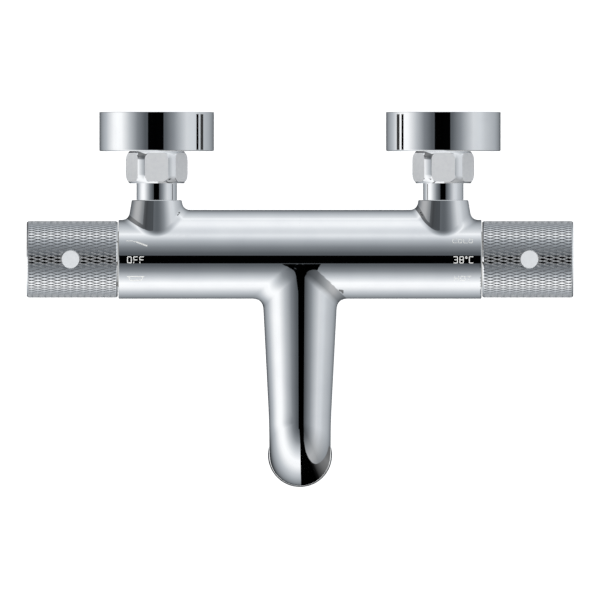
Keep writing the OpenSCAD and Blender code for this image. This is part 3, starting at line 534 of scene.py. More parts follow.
def make_piece(name: str, shape: Surface, finishes: list[Finish], body: Body,
               replaced: tuple[str, ...] = (), smooth: float = 32.0) -> None:
    """Make an object of a surface, dress it, and hang it on its moving group.

    Points that no face uses are left out, and points that coincide are joined, which also closes seams and
    poles. Edges sharper than the smooth angle and edges between two finishes stay sharp. Where a point knows
    the true normal of its skin, and a face there lies within 25 degrees of it, the shading takes that normal.
    The piece stays out of reflections, so the chrome shows the studio alone, as in the photograph.

    Args:
        name: Name of the piece.
        shape: Its surface.
        finishes: Its finishes, in the order of the surface's numbers.
        body: Moving group that it rides on.
        replaced: CAD nodes that it stands for.
        smooth: Largest angle in degrees that is shaded smooth.
    """
    mesh = bpy.data.meshes.new(name)
    used = np.unique(shape.faces[shape.faces >= 0])
    number = np.full(len(shape.points) + 1, -1)
    number[used] = np.arange(len(used))
    corners = number[shape.faces].ravel()
    counts = np.where(shape.faces[:, 3] < 0, 3, 4)
    mesh.vertices.add(len(used))
    mesh.vertices.foreach_set("co", (shape.points[used] * MM).astype(np.float32).ravel())
    mesh.loops.add(int(counts.sum()))
    mesh.loops.foreach_set("vertex_index", corners[corners >= 0].astype(np.int32))
    mesh.polygons.add(len(counts))
    mesh.polygons.foreach_set("loop_start", np.concatenate([[0], np.cumsum(counts)[:-1]]).astype(np.int32))
    mesh.polygons.foreach_set("material_index", shape.finish)
    mesh.update(calc_edges=True)
    mesh.attributes.new("relief", "FLOAT", "POINT").data.foreach_set("value", shape.relief[used].astype(np.float32))
    guide = mesh.attributes.new("guide", "FLOAT_VECTOR", "POINT")
    guide.data.foreach_set("vector", shape.normals[used].astype(np.float32).ravel())
    close_up(mesh)
    for finish in finishes:
        mesh.materials.append(finish.material())
    shade(mesh, smooth)
    piece = placed(name, mesh)
    piece.visible_glossy = False
    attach(piece, body.value)
    if replaced:
        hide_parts(*replaced)
    LOG.info("%s: %d faces, rides on %s", name, len(mesh.polygons), body.value)


def close_up(mesh: bpy.types.Mesh) -> None:
    """Join points that coincide, which closes seams and poles, and turn the faces outward.

    Args:
        mesh: Mesh that is changed.
    """
    work = bmesh.new()
    work.from_mesh(mesh)
    bmesh.ops.remove_doubles(work, verts=work.verts, dist=2e-6)
    bmesh.ops.recalc_face_normals(work, faces=work.faces)
    work.to_mesh(mesh)
    work.free()


def shade(mesh: bpy.types.Mesh, smooth: float) -> None:
    """Set a mesh's sharp edges and its true normals.

    Edges sharper than the smooth angle and edges between two finishes stay sharp. Where a point knows the
    true normal of its skin, and a face there lies within 25 degrees of it, the shading takes that normal.

    Args:
        mesh: Mesh with the guide attribute, which is taken off.
        smooth: Largest angle in degrees that is shaded smooth.
    """
    mesh.shade_smooth()
    mesh.set_sharp_from_angle(angle=math.radians(smooth))
    edge_of, vertex_of = (np.zeros(len(mesh.loops), np.int32) for _ in range(2))
    mesh.loops.foreach_get("edge_index", edge_of)
    mesh.loops.foreach_get("vertex_index", vertex_of)
    count = len(mesh.polygons)
    totals, finish = np.zeros(count, np.int32), np.zeros(count, np.int32)
    mesh.polygons.foreach_get("loop_total", totals)
    mesh.polygons.foreach_get("material_index", finish)
    face_of = np.repeat(np.arange(count), totals)
    lowest, highest = np.full(len(mesh.edges), 99, np.int32), np.zeros(len(mesh.edges), np.int32)
    np.minimum.at(lowest, edge_of, finish[face_of])
    np.maximum.at(highest, edge_of, finish[face_of])
    sharp = mesh.attributes.get("sharp_edge") or mesh.attributes.new("sharp_edge", "BOOLEAN", "EDGE")
    marks = np.zeros(len(mesh.edges), bool)
    sharp.data.foreach_get("value", marks)
    sharp.data.foreach_set("value", marks | (highest > lowest))
    guide = np.zeros(len(mesh.vertices) * 3, np.float32)
    mesh.attributes["guide"].data.foreach_get("vector", guide)
    mesh.attributes.remove(mesh.attributes["guide"])
    guide = guide.reshape(-1, 3)
    if not guide.any():
        return
    flat = np.zeros(count * 3, np.float32)
    mesh.polygons.foreach_get("normal", flat)
    wanted = guide[vertex_of]
    agrees = (wanted * flat.reshape(-1, 3)[face_of]).sum(axis=1) > math.cos(math.radians(25))
    mesh.normals_split_custom_set(np.where(agrees[:, None], wanted, 0).tolist())


# Body casting


@dataclass(frozen=True)
class Branch:
    """Cone that stands square on the tube's axis, the plain shape of the spout or of a boss.

    It stands at a centre along the tube. Its radius at the tube's axis grows by an amount per millimetre. Its
    sign is 1 towards the wall and -1 away from it.
    """

    centre: float
    sign: float
    foot_r: float
    growth: float

    def skin(self, p: np.ndarray) -> tuple[np.ndarray, np.ndarray]:
        """Distance to the cone, and the direction square to its axis.

        Args:
            p: Points as across, back and up.

        Returns:
            Distances and unit directions.
        """
        away = self.sign * p[:, 1]
        reach = np.maximum(np.hypot(p[:, 0] - self.centre, p[:, 2]), 1e-9)
        side = (reach - self.foot_r - self.growth * away) / math.hypot(1, self.growth)
        distance = np.where(away < 0, np.hypot(np.maximum(side, 0), away), side)
        square = np.stack([(p[:, 0] - self.centre) / reach, np.zeros_like(reach), p[:, 2] / reach], axis=-1)
        return distance, square

    def at(self, away: np.ndarray, angle: np.ndarray) -> np.ndarray:
        """Points of the cone: the radius is that at its foot plus the growth times the distance along it.

        Args:
            away: Distances from the tube's axis.
            angle: Angles round the cone in radians.

        Returns:
            Points as across, back and up.
        """
        away, angle = np.broadcast_arrays(away, angle)
        radius = self.foot_r + self.growth * away
        return np.stack([self.centre + radius * np.cos(angle), self.sign * away, radius * np.sin(angle)], axis=-1)


@dataclass
class Casting:
    """Cast body: a level tube with a gallery behind it, two inlet bosses and a spout.

    Its skin is worked out in a frame whose origin lies on the tube's axis: across is X, back runs to the wall
    and up is Z. The skin is where a smooth union of the plain shapes has the value 0.
    """

    axis_back: float = AXIS_BACK
    tube_r: float = TUBE_R
    half_length: float = 95.0
    end_round: float = 0.4
    gallery_r: float = 13.0
    gallery_back: float = 12.9
    flank_swell: float = 0.17
    boss_at: float = INLET_AT
    boss_face: float = 31.0
    boss_face_r: float = 13.1
    boss_draft: float = 9.5
    boss_rim: float = 0.5
    boss_blend: float = 3.8
    boss_bore_r: float = 10.4
    boss_bore_depth: float = 7.1
    spout_root_r: float = 20.6
    spout_end_r: float = 16.15
    spout_straight: float = 85.8
    spout_bend_r: float = 16.8
    spout_drop: float = 29.0
    spout_blend: float = 5.5
    spout_blend_power: float = 0.6
    spout_blend_from: float = 6.0
    spout_settled: float = 36.0
    outlet_r: float = 16.82
    outlet_lip: float = 0.5
    outlet_ring: float = 5.6
    outlet_bore_r: float = 13.1
    outlet_bore_depth: float = 11.5
    lock_r: float = 17.1
    lock_depth: float = 8.1
    chamber_r: dict = field(default_factory=lambda: {Side.HOT: 14.0, Side.COLD: 16.0})
    chamber_depth: dict = field(default_factory=lambda: {Side.HOT: 37.0, Side.COLD: 57.0})
    shower_at: float = SHOWER_AT
    shower_r: float = 12.0
    shower_face: float = -23.0
    shower_stub: float = 9.0
    shower_bore_r: float = 9.2
    shower_bore_depth: float = 8.5
    columns: int = 144
    spout_window_half: float = 30.0
    boss_window_half: float = 18.0
    boss_window_turn: float = 70.0

    @property
    def taper(self) -> float:
        """Loss of the spout's radius per millimetre of its length."""
        return (self.spout_root_r - self.spout_end_r) / self.spout_straight

    @property
    def draft(self) -> float:
        """Growth of a boss's radius per millimetre towards the tube."""
        return math.tan(math.radians(self.boss_draft))

    @property
    def spout_cone(self) -> Branch:
        """Plain shape of the spout."""
        return Branch(0.0, -1.0, self.spout_root_r, -self.taper)

    def boss_cone(self, side: Side) -> Branch:
        """Plain shape of a boss."""
        return Branch(side.value * self.boss_at, 1.0, self.boss_face_r + self.boss_face * self.draft, -self.draft)

    def plain_skin(self, p: np.ndarray) -> tuple[np.ndarray, np.ndarray]:
        """Distance to the tube with its gallery, and the direction square to that skin.

        The section is the hull of two circles, the tube's and the gallery's. Its flank swells by a small
        height times the square of the sine of half a turn's share of the way between the circles. Past the
        bosses the gallery's radius falls off as on a ball, the root of its square less the square of the
        distance past.

        Args:
            p: Points as across, back and up.

        Returns:
            Distances, negative inside, and unit directions.
        """
        across, back, up = p[:, 0], p[:, 1], np.abs(p[:, 2])
        past = np.maximum(np.abs(across) - self.boss_at, 0)
        least = self.tube_r - self.gallery_back
        radius = np.sqrt(np.maximum(self.gallery_r ** 2 - past ** 2, least ** 2))
        sine = (self.tube_r - radius) / self.gallery_back
        cosine = np.sqrt(np.maximum(1 - sine ** 2, 0))
        run = cosine * back - sine * up
        on_tube, on_gallery = run <= 0, run >= cosine * self.gallery_back
        tube_reach = np.hypot(back, up)
        gallery_reach = np.hypot(back - self.gallery_back, up)
        distance = np.where(on_tube, tube_reach - self.tube_r, np.where(
            on_gallery, gallery_reach - radius, cosine * up + sine * back - self.tube_r))
        share = np.clip(run / np.maximum(cosine * self.gallery_back, 1e-6), 0, 1)
        distance = distance - self.flank_swell * np.sin(np.pi * share) ** 2
        square_back = np.where(on_tube, back / tube_reach, np.where(
            on_gallery, (back - self.gallery_back) / np.maximum(gallery_reach, 1e-9), sine))
        square_up = np.sqrt(np.maximum(1 - square_back ** 2, 0)) * np.sign(p[:, 2])
        return distance, np.stack([np.zeros_like(across), square_back, square_up], axis=-1)

    @staticmethod
    def blended(first: tuple[np.ndarray, np.ndarray], second: tuple[np.ndarray, np.ndarray],
                width: float | np.ndarray, power: float) -> np.ndarray:
        """Join two skins with a blend that dies away where they run alike.

        With w the width times (1 - the cosine between the skins) to a power, the value is the smaller
        distance less the square of max(w - their difference, 0) over 4 w.

        Args:
            first: Distance and direction of one skin.
            second: Distance and direction of the other.
            width: Width of the blend where the skins are square to each other.
            power: Power that makes it die away.

        Returns:
            Values of the joined skin.
        """
        alike = np.clip((first[1] * second[1]).sum(axis=1), -1, 1)
        w = np.maximum(width * np.minimum(1 - alike, 1) ** power, 1e-4)
        near = np.maximum(w - np.abs(first[0] - second[0]), 0)
        return np.minimum(first[0], second[0]) - near ** 2 / (4 * w)

    def skin(self, p: np.ndarray) -> np.ndarray:
        """Value of the whole skin at points: the tube and gallery blended with the spout and the bosses.

        With s the share of the way from the tube's axis to where the spout's blend is full, the width of that
        blend grows as s squared times (3 - 2 s), so nothing swells behind the axis.

        Args:
            p: Points as across, back and up.

        Returns:
            Values, negative inside.
        """
        plain = self.plain_skin(p)
        out = np.clip(-p[:, 1] / self.spout_blend_from, 0, 1)
        width = self.spout_blend * out ** 2 * (3 - 2 * out)
        value = self.blended(plain, self.spout_cone.skin(p), width, self.spout_blend_power)
        for side in Side:
            value = np.minimum(value, self.blended(plain, self.boss_cone(side).skin(p), self.boss_blend, 1.0))
        return value

    def slope(self, p: np.ndarray) -> np.ndarray:
        """Gradient of the skin's value, from differences over a hundredth of a millimetre each way."""
        steps = 0.01 * np.eye(3)
        return np.stack([(self.skin(p + step) - self.skin(p - step)) / 0.02 for step in steps], axis=-1)

    def settled(self, p: np.ndarray, rounds: int = 9) -> tuple[np.ndarray, np.ndarray]:
        """Move points onto the skin: each round takes off the value times the gradient over its square.

        Args:
            p: Points as across, back and up, in any grid shape.
            rounds: Number of rounds.

        Returns:
            Settled points and their unit normals, in the grid shape.
        """
        flat = p.reshape(-1, 3).copy()
        for _ in range(rounds):
            gradient = self.slope(flat)
            square = np.maximum((gradient ** 2).sum(axis=1, keepdims=True), 0.05)
            flat -= self.skin(flat)[:, None] * gradient / square
        normal = self.slope(flat)
        normal /= np.linalg.norm(normal, axis=1, keepdims=True)
        return flat.reshape(p.shape), normal.reshape(p.shape)

    def on_plain(self, across: np.ndarray, turn: np.ndarray) -> np.ndarray:
        """Points of the plain tube and gallery, from their place along the tube and their turn in degrees.

        The turn is 0 away from the wall and 90 on top. A ray from the axis is followed inwards by the
        distance that is left, from outside the gallery.

        Args:
            across: Places along the tube.
            turn: Turns round it in degrees.

        Returns:
            Points as across, back and up.
        """
        across, angle = np.broadcast_arrays(across, np.radians(turn))
        reach = np.full(across.size, self.gallery_back + self.gallery_r + 1)
        for _ in range(40):
            p = np.stack([across.ravel(), -reach * np.cos(angle).ravel(), reach * np.sin(angle).ravel()], axis=-1)
            reach = reach - self.plain_skin(p)[0]
        p = np.stack([across.ravel(), -reach * np.cos(angle).ravel(), reach * np.sin(angle).ravel()], axis=-1)
        return p.reshape(*across.shape, 3)

    def in_frame(self, p: np.ndarray) -> np.ndarray:
        """Move points from the casting's own frame to the object's."""
        return p + np.array([0.0, self.axis_back, 0.0])

    def branch_rows(self, cone: Branch, outline: tuple[np.ndarray, np.ndarray], angle: np.ndarray, end: float,
                    rows: tuple[int, int]) -> np.ndarray:
        """Rows of points from a window in the tube's grid to the foot of a branch, and up along the branch.

        The foot is where the cone's line at each angle leaves the plain skin, found by following the line
        inwards by the distance that is left. The rows before it run straight in along and turn from the
        window to the foot, and those after it run along the cone, closer together near the foot.

        Args:
            cone: The branch's plain shape.
            outline: Along and turn of the window's points.
            angle: Angle round the branch for each of the window's points.
            end: How far along the branch the rows run.
            rows: Number of rows before and after the foot.

        Returns:
            Grid of points on the plain shapes, not yet settled.
        """
        away = np.full(len(angle), self.gallery_back + self.gallery_r + 5)
        for _ in range(300):
            away = away - 0.8 * self.plain_skin(cone.at(away, angle))[0]
        foot = cone.at(away, angle)
        foot_turn = np.degrees(np.arctan2(foot[:, 2], -foot[:, 1]))
        foot_turn = np.where(foot_turn < -90.01, foot_turn + 360, foot_turn)
        share = 1 - (1 - np.linspace(0, 1, rows[0] + 1)[:, None]) ** 1.25
        before = self.on_plain(outline[0] + share * (foot[:, 0] - outline[0]),
                               outline[1] + share * (foot_turn - outline[1]))
        share = np.linspace(0, 1, rows[1] + 1)[1:, None] ** 1.5
        after = cone.at(away + share * (end - away), angle[None, :])
        return np.concatenate([before, after])

    def tube_grid(self) -> tuple[np.ndarray, np.ndarray, np.ndarray]:
        """Lay a grid of points round the tube.

        Returns:
            Points, place of each row along the tube, and turn of each column in degrees.
        """
        inner = self.half_length - self.end_round
        whole = math.floor(inner)
        across = np.concatenate([[-inner], np.arange(-whole, whole + 0.5), [inner]])
        turn = -90 + np.arange(self.columns) * 360 / self.columns
        points = self.on_plain(across[:, None], turn[None, :])
        return points, across, turn

    @staticmethod
    def window(i: tuple[int, int], j: tuple[int, int]) -> tuple[np.ndarray, np.ndarray]:
        """Follow the edge of a window in the grid.

        Args:
            i: First and last row of the window.
            j: First and last column of the window.

        Returns:
            Row and column of each point round the edge, in order.
        """
        (low, high), (first, last) = i, j
        rows = np.concatenate([np.full(last - first, high), np.arange(high, low, -1),
                               np.full(last - first, low), np.arange(low, high)])
        columns = np.concatenate([np.arange(first, last), np.full(high - low, last),
                                  np.arange(last, first, -1), np.full(high - low, first)])
        return rows, columns

    def spout_path(self, run: np.ndarray, angle: np.ndarray) -> np.ndarray:
        """Points of the spout beyond its settled part, from their run along its middle and angle round it.

        The middle runs straight, turns down a quarter circle and drops to the rim. Before the bend the radius
        is the end radius plus the taper times 3 ln(1 + exp of a third of the run that is left), which eases
        the taper into the bend. Over the ring at the outlet it grows in a straight line to the radius of the rim.

        Args:
            run: Distances along the middle.
            angle: Angles round it in radians.

        Returns:
            Points as across, back and up.
        """
        run, angle = np.broadcast_arrays(run, angle)
        bend = np.clip((run - self.spout_straight) / self.spout_bend_r, 0, np.pi / 2)
        drop = self.spout_drop - self.spout_bend_r
        fallen = np.clip(run - self.spout_straight - self.spout_bend_r * np.pi / 2, 0, drop)
        out = np.minimum(run, self.spout_straight) + self.spout_bend_r * np.sin(bend)
        up = -self.spout_bend_r * (1 - np.cos(bend)) - fallen
        ease = 3.0
        radius = self.spout_end_r + self.taper * ease * np.logaddexp(0, (self.spout_straight - run) / ease)
        flare = np.clip((fallen - drop + self.outlet_ring) / (self.outlet_ring - self.outlet_lip), 0, 1)
        radius = radius + (self.outlet_r - self.spout_end_r) * flare
        lift = radius * np.sin(angle)
        return np.stack([radius * np.cos(angle), -(out + lift * np.sin(bend)), up + lift * np.cos(bend)], axis=-1)

    def spout(self, points: np.ndarray, normals: np.ndarray, across: np.ndarray, turn: np.ndarray) -> Surface:
        """Build the spout from its window in the tube's grid to the floor of its outlet.

        Args:
            points: The tube's settled grid.
            normals: Normals of the grid.
            across: Place of each of its rows.
            turn: Turn of each of its columns.

        Returns:
            Surface in the object's frame.
        """
        rows, columns = self.window(*self.spout_window(across, turn))
        angle = np.arctan2(turn[columns] / 90, across[rows] / self.spout_window_half)
        grid = self.branch_rows(self.spout_cone, (across[rows], turn[columns]), angle, self.spout_settled, (16, 44))
        grid, normal = self.settled(grid)
        grid[0], normal[0] = points[rows, columns], normals[rows, columns]
        length = self.spout_straight + self.spout_bend_r * np.pi / 2 + self.spout_drop - self.spout_bend_r
        bend_end = length - self.spout_drop + self.spout_bend_r
        before_bend = self.spout_straight - 6
        runs = np.concatenate([
            np.linspace(self.spout_settled, before_bend, 20)[1:],
            np.linspace(before_bend, self.spout_straight, 9)[1:],
            np.linspace(self.spout_straight, bend_end, 37)[1:],
            np.linspace(bend_end, length - self.outlet_ring, 6)[1:],
            np.linspace(length - self.outlet_ring + 0.05, length - self.outlet_lip - 0.05, 6),
            [length - self.outlet_lip]])
        path = self.spout_path(runs[:, None], angle[None, :])
        rim = np.vstack([
            arc((self.outlet_r - self.outlet_lip, self.outlet_lip - self.spout_drop), self.outlet_lip, 0, -90)[1:],
            rounded([(self.outlet_r - self.outlet_lip - 0.03, -self.spout_drop),
                     (self.outlet_bore_r, -self.spout_drop),
                     (self.outlet_bore_r, self.outlet_bore_depth - self.spout_drop),
                     (0.0, self.outlet_bore_depth - self.spout_drop)], [0, 0.25, 0, 0], steps=3)])
        reach = self.spout_straight + self.spout_bend_r
        radius, station = rim[:, :1], np.broadcast_to(rim[:, 1:], (len(rim), len(angle)))
        outlet = np.stack([radius * np.cos(angle), -(reach + radius * np.sin(angle)), station], axis=-1)
        everything = np.concatenate([grid, path, outlet])
        known = np.concatenate([normal, np.zeros_like(path), np.zeros_like(outlet)])
        return surface(self.in_frame(everything), grid_faces(len(everything), len(angle)), normals=known)

    def boss(self, side: Side, points: np.ndarray, normals: np.ndarray, across: np.ndarray,
             turn: np.ndarray) -> Surface:
        """Build one inlet boss from its window in the tube's grid to the floor of its bore.

        Args:
            side: Which boss.
            points: The tube's settled grid.
            normals: Normals of the grid.
            across: Place of each of its rows.
            turn: Turn of each of its columns.

        Returns:
            Surface in the object's frame.
        """
        centre = side.value * self.boss_at
        rows, columns = self.window(*self.boss_window(side, across, turn))
        angle = np.arctan2(-(turn[columns] - 180) / self.boss_window_turn,
                           (across[rows] - centre) / self.boss_window_half)
        grid = self.branch_rows(self.boss_cone(side), (across[rows], turn[columns]), angle,
                                self.boss_face - self.boss_rim, (12, 22))
        grid, normal = self.settled(grid)
        grid[0], normal[0] = points[rows, columns], normals[rows, columns]
        rim_r = self.boss_face_r + self.draft * self.boss_rim
        floor = self.boss_face - self.boss_bore_depth
        rim = rounded([(rim_r, self.boss_face - self.boss_rim - 0.1), (self.boss_face_r, self.boss_face),
                       (self.boss_bore_r, self.boss_face), (self.boss_bore_r, floor), (0.0, floor)],
                      [0, 0.45, 0.15, 0, 0], steps=5)[1:]
        radius, station = rim[:, :1], np.broadcast_to(rim[:, 1:], (len(rim), len(angle)))
        mouth = np.stack([centre + radius * np.cos(angle), station, radius * np.sin(angle)], axis=-1)
        everything = np.concatenate([grid, mouth])
        known = np.concatenate([normal, np.zeros_like(mouth)])
        return surface(self.in_frame(everything), grid_faces(len(everything), len(angle)), normals=known)

    def spout_window(self, across: np.ndarray, turn: np.ndarray) -> tuple[tuple[int, int], tuple[int, int]]:
        """Return the first and last row, and the first and last column, of the spout's window."""
        return nearest(across, -self.spout_window_half, self.spout_window_half), nearest(turn, -90, 90)

    def boss_window(self, side: Side, across: np.ndarray,
                    turn: np.ndarray) -> tuple[tuple[int, int], tuple[int, int]]:
        """Return the first and last row, and the first and last column, of a boss's window."""
        rows = nearest(across - side.value * self.boss_at, -self.boss_window_half, self.boss_window_half)
        return rows, nearest(turn, 180 - self.boss_window_turn, 180 + self.boss_window_turn)

    def end(self, side: Side, turn: np.ndarray) -> Surface:
        """Build one end face with its stepped bore, joined to the last row of the tube's grid.

        Args:
            side: Which end.
            turn: Turn of each column of the grid in degrees.

        Returns:
            Surface in the object's frame.
        """
        inner = self.half_length - self.end_round
        profile = np.vstack([
            arc((self.tube_r - self.end_round, inner), self.end_round, 0, 90, 5),
            rounded([(self.tube_r - self.end_round - 0.03, self.half_length), (self.lock_r, self.half_length),
                     (self.lock_r, self.half_length - self.lock_depth),
                     (self.chamber_r[side], self.half_length - self.lock_depth),
                     (self.chamber_r[side], self.half_length - self.chamber_depth[side]),
                     (0.0, self.half_length - self.chamber_depth[side])], [0, 0.2, 0, 0, 0, 0], steps=3)])
        angle = np.radians(turn)[None, :]
        radius, station = profile[:, :1], np.broadcast_to(profile[:, 1:], (len(profile), len(turn)))
        points = np.stack([side.value * station, -radius * np.cos(angle), radius * np.sin(angle)], axis=-1)
        return surface(self.in_frame(points), grid_faces(len(profile), len(turn)))

    def tube(self) -> list[Surface]:
        """Build the tube with its gallery, windows left open, and everything that grows out of them.

        Returns:
            Surfaces that close into one skin.
        """
        points, across, turn = self.tube_grid()
        points, normals = self.settled(points)
        edge = np.abs(np.abs(across) - self.half_length + self.end_round) < 1e-6
        angle = np.radians(turn)
        ring = np.stack([np.zeros_like(angle), -self.tube_r * np.cos(angle), self.tube_r * np.sin(angle)], axis=-1)
        points[edge] = ring + across[edge][:, None, None] * np.array([1.0, 0.0, 0.0])
        rows, columns = len(across), len(turn)
        faces = grid_faces(rows, columns)
        i, j = np.divmod(np.arange(len(faces)), columns)
        open_cells = self.inside(i, j, *self.spout_window(across, turn))
        for side in Side:
            open_cells |= self.inside(i, j, *self.boss_window(side, across, turn))
        parts = [surface(self.in_frame(points), faces[~open_cells], normals=normals)]
        parts.append(self.spout(points, normals, across, turn))
        for side in Side:
            parts.append(self.boss(side, points, normals, across, turn))
            parts.append(self.end(side, turn))
        return parts

    @staticmethod
    def inside(i: np.ndarray, j: np.ndarray, rows: tuple[int, int], columns: tuple[int, int]) -> np.ndarray:
        """Tell which cells of the grid lie in a window."""
        return (i >= rows[0]) & (i < rows[1]) & (j >= columns[0]) & (j < columns[1])

    def shower_boss(self) -> Surface:
        """Build the boss under the body that takes the shower nipple, a short turned stub.

        Returns:
            Surface in the object's frame.
        """
        top, floor = self.shower_face + self.shower_stub, self.shower_face + self.shower_bore_depth
        profile = rounded([(0.0, top), (self.shower_r, top), (self.shower_r, self.shower_face),
                           (self.shower_bore_r, self.shower_face), (self.shower_bore_r, floor), (0.0, floor)],
                          [0, 0, 0.5, 0.2, 0, 0], steps=4)
        return turned(profile, upright(self.shower_at, self.axis_back), 120)

    def build(self) -> None:
        """Make the casting and dress it in polished chrome."""
        make_piece("body_skin", joined(self.tube() + [self.shower_boss()]), [POLISHED_CHROME], Body.ROOT,
                   ("body_casting",))


# Inlets


@dataclass
class Inlet:
    """One inlet between the wall and the body: shroud, union nut and tail.

    Stations run from the wall towards the body.
    """

    side: Side
    across: float = INLET_AT
    shroud_r: float = 30.1
    shroud_wall: float = 1.5
    shroud_depth: float = 20.5
    shroud_lip: float = 0.6
    neck_in: float = 15.2
    neck_out: float = 17.2
    neck_len: float = 8.0
    nut_r: float = 16.2
    nut_half_af: float = 15.0
    flat_half: float = 6.1
    flat_corner: float = 3.2
    flat_end: float = 0.85
    flat_step: float = 0.2
    nut_len: float = 16.8
    shoulder_r: float = 6.3
    shoulder_at: float = 4.5
    nut_thread_r: float = 13.2
    nut_thread_to: float = 12.9
    nut_hole_r: float = 10.7
    tail_r: float = 10.6
    tail_face: float = 46.0
    collar_r: float = 12.6
    collar: tuple[float, float] = (31.0, 33.8)
    spigot_r: float = 10.3
    tail_end: float = 53.1
    tail_bore_r: float = 8.2

    @property
    def axis(self) -> Axis:
        """Axis of the inlet, from the wall outwards."""
        return Axis((self.side.value * self.across, 0, 0), (0, -1, 0), (0, 0, 1))

    @property
    def prefix(self) -> str:
        """First word of this inlet's piece names."""
        return self.side.name.lower()

    def shroud(self) -> None:
        """Make the round cover that hides the wall fixing, drawn from sheet with a rolled front edge."""
        front, back = self.shroud_depth, self.shroud_depth - self.shroud_wall
        inner = self.shroud_r - self.shroud_wall
        profile = rounded(
            [(inner, 0), (self.shroud_r, 0), (self.shroud_r, front), (self.neck_in, front),
             (self.neck_in, front - self.neck_len), (self.neck_out, front - self.neck_len),
             (self.neck_out, back), (inner, back)],
            [0.2, 0.2, self.shroud_lip, 0.5, 0.15, 0.15, 0.6, 0.8], closed=True)
        make_piece(f"{self.prefix}_shroud_cover", turned(profile, self.axis, 240, closed=True), [POLISHED_CHROME],
                   Body.ROOT, (f"{self.prefix}_shroud",))

    def nut_radius(self, station: np.ndarray) -> np.ndarray:
        """Radius of the turned nut: straight, with an arc of the shoulder radius to each end."""
        short = np.maximum(self.shoulder_at - np.minimum(station, self.nut_len - station), 0)
        return self.nut_r - self.shoulder_r + np.sqrt(self.shoulder_r ** 2 - short ** 2)

    def nut(self) -> None:
        """Make the union nut: a turned body with six milled flats.

        A flat is a rounded rectangle at half the width across the flats. Its half width is its full half width
        less the corner radius c, plus the root of c squared less the square of c less the distance to the
        flat's end. Beside a flat, over the step's share of the way to the next, the radius falls from that of
        the flat's edge to that of the turned body, as the square of the share that is left.
        """
        ends = np.linspace(0, self.flat_end, 7)
        wave = (1 - np.cos(np.linspace(0, np.pi, 49))) / 2
        middle = self.flat_end + (self.nut_len - 2 * self.flat_end) * wave
        station = np.concatenate([ends, middle, self.nut_len - ends[::-1]])
        milled = np.zeros(len(station), bool)
        milled[len(ends):-len(ends)] = True
        radius = self.nut_radius(station)
        to_end = np.minimum(station, self.nut_len - station) - self.flat_end
        short = np.clip(self.flat_corner - to_end, 0, self.flat_corner)
        half = self.flat_half - self.flat_corner + np.sqrt(self.flat_corner ** 2 - short ** 2)
        edge_angle = np.arctan2(half, self.nut_half_af)
        edge_r = np.where(milled, np.hypot(half, self.nut_half_af), radius)
        along = np.linspace(-1, 1, 5)[:-1]
        flat_angle = np.where(milled[:, None], np.arctan2(half[:, None] * along, self.nut_half_af),
                              edge_angle[:, None] * along)
        flat_reach = np.where(milled[:, None], np.hypot(half[:, None] * along, self.nut_half_af), radius[:, None])
        share = np.linspace(0, 1, 13)[:-1]
        left = np.clip(1 - np.minimum(share, 1 - share) / self.flat_step, 0, 1) ** 2
        round_angle = edge_angle[:, None] + share * (math.pi / 3 - 2 * edge_angle)[:, None]
        round_reach = radius[:, None] + (edge_r - radius)[:, None] * left
        angle = np.concatenate([flat_angle, round_angle], axis=1)[:, None, :] + (
            math.pi / 3 * np.arange(6))[None, :, None]
        reach = np.broadcast_to(np.concatenate([flat_reach, round_reach], axis=1)[:, None, :], angle.shape)
        angle, reach = angle.reshape(len(station), -1), reach.reshape(len(station), -1)
        outer = self.axis.place(reach, angle, station[:, None] + self.shroud_depth)
        inner = rounded([(radius[-1], self.nut_len), (self.nut_hole_r, self.nut_len),
                         (self.nut_hole_r, self.nut_thread_to), (self.nut_thread_r, self.nut_thread_to),
                         (self.nut_thread_r, 0), (radius[0], 0)], [0, 0.3, 0, 0, 0.3, 0], steps=3)[1:-1]
        bore = self.axis.place(inner[:, :1], angle[-1:], inner[:, 1:] + self.shroud_depth)
        points = np.concatenate([outer, bore])
        on_flat = np.tile(np.arange(len(along) + len(share)) < len(along), 6)
        row = np.arange(len(points))
        milled_row = (row >= len(ends)) & (row < len(ends) + len(middle) - 1)
        finish = (milled_row[:, None] & on_flat[None, :]).astype(int).ravel()
        shape = surface(points, grid_faces(len(points), len(on_flat), wrap_rows=True), finish)
        make_piece(f"{self.prefix}_union_nut_turned", shape, [POLISHED_CHROME, MILLED_FLAT], Body.ROOT,
                   (f"{self.prefix}_union_nut",), smooth=38)

    def tail(self) -> None:
        """Make the tail between nut and body, with its collar under the nut and its spigot in the boss."""
        profile = rounded(
            [(self.tail_bore_r, self.collar[0]), (self.collar_r, self.collar[0]), (self.collar_r, self.collar[1]),
             (self.tail_r, self.collar[1]), (self.tail_r, self.tail_face), (self.spigot_r, self.tail_face),
             (self.spigot_r, self.tail_end), (self.tail_bore_r, self.tail_end)],
            [0.2, 0.3, 0.3, 0, 0, 0, 0.3, 0.2], closed=True, steps=4)
        make_piece(f"{self.prefix}_tail_turned", turned(profile, self.axis, 160, closed=True), [POLISHED_CHROME],
                   Body.ROOT, (f"{self.prefix}_inlet_tail",))

    def build(self) -> None:
        """Make the inlet's pieces."""
        self.shroud()
        self.nut()
        self.tail()


# Handles


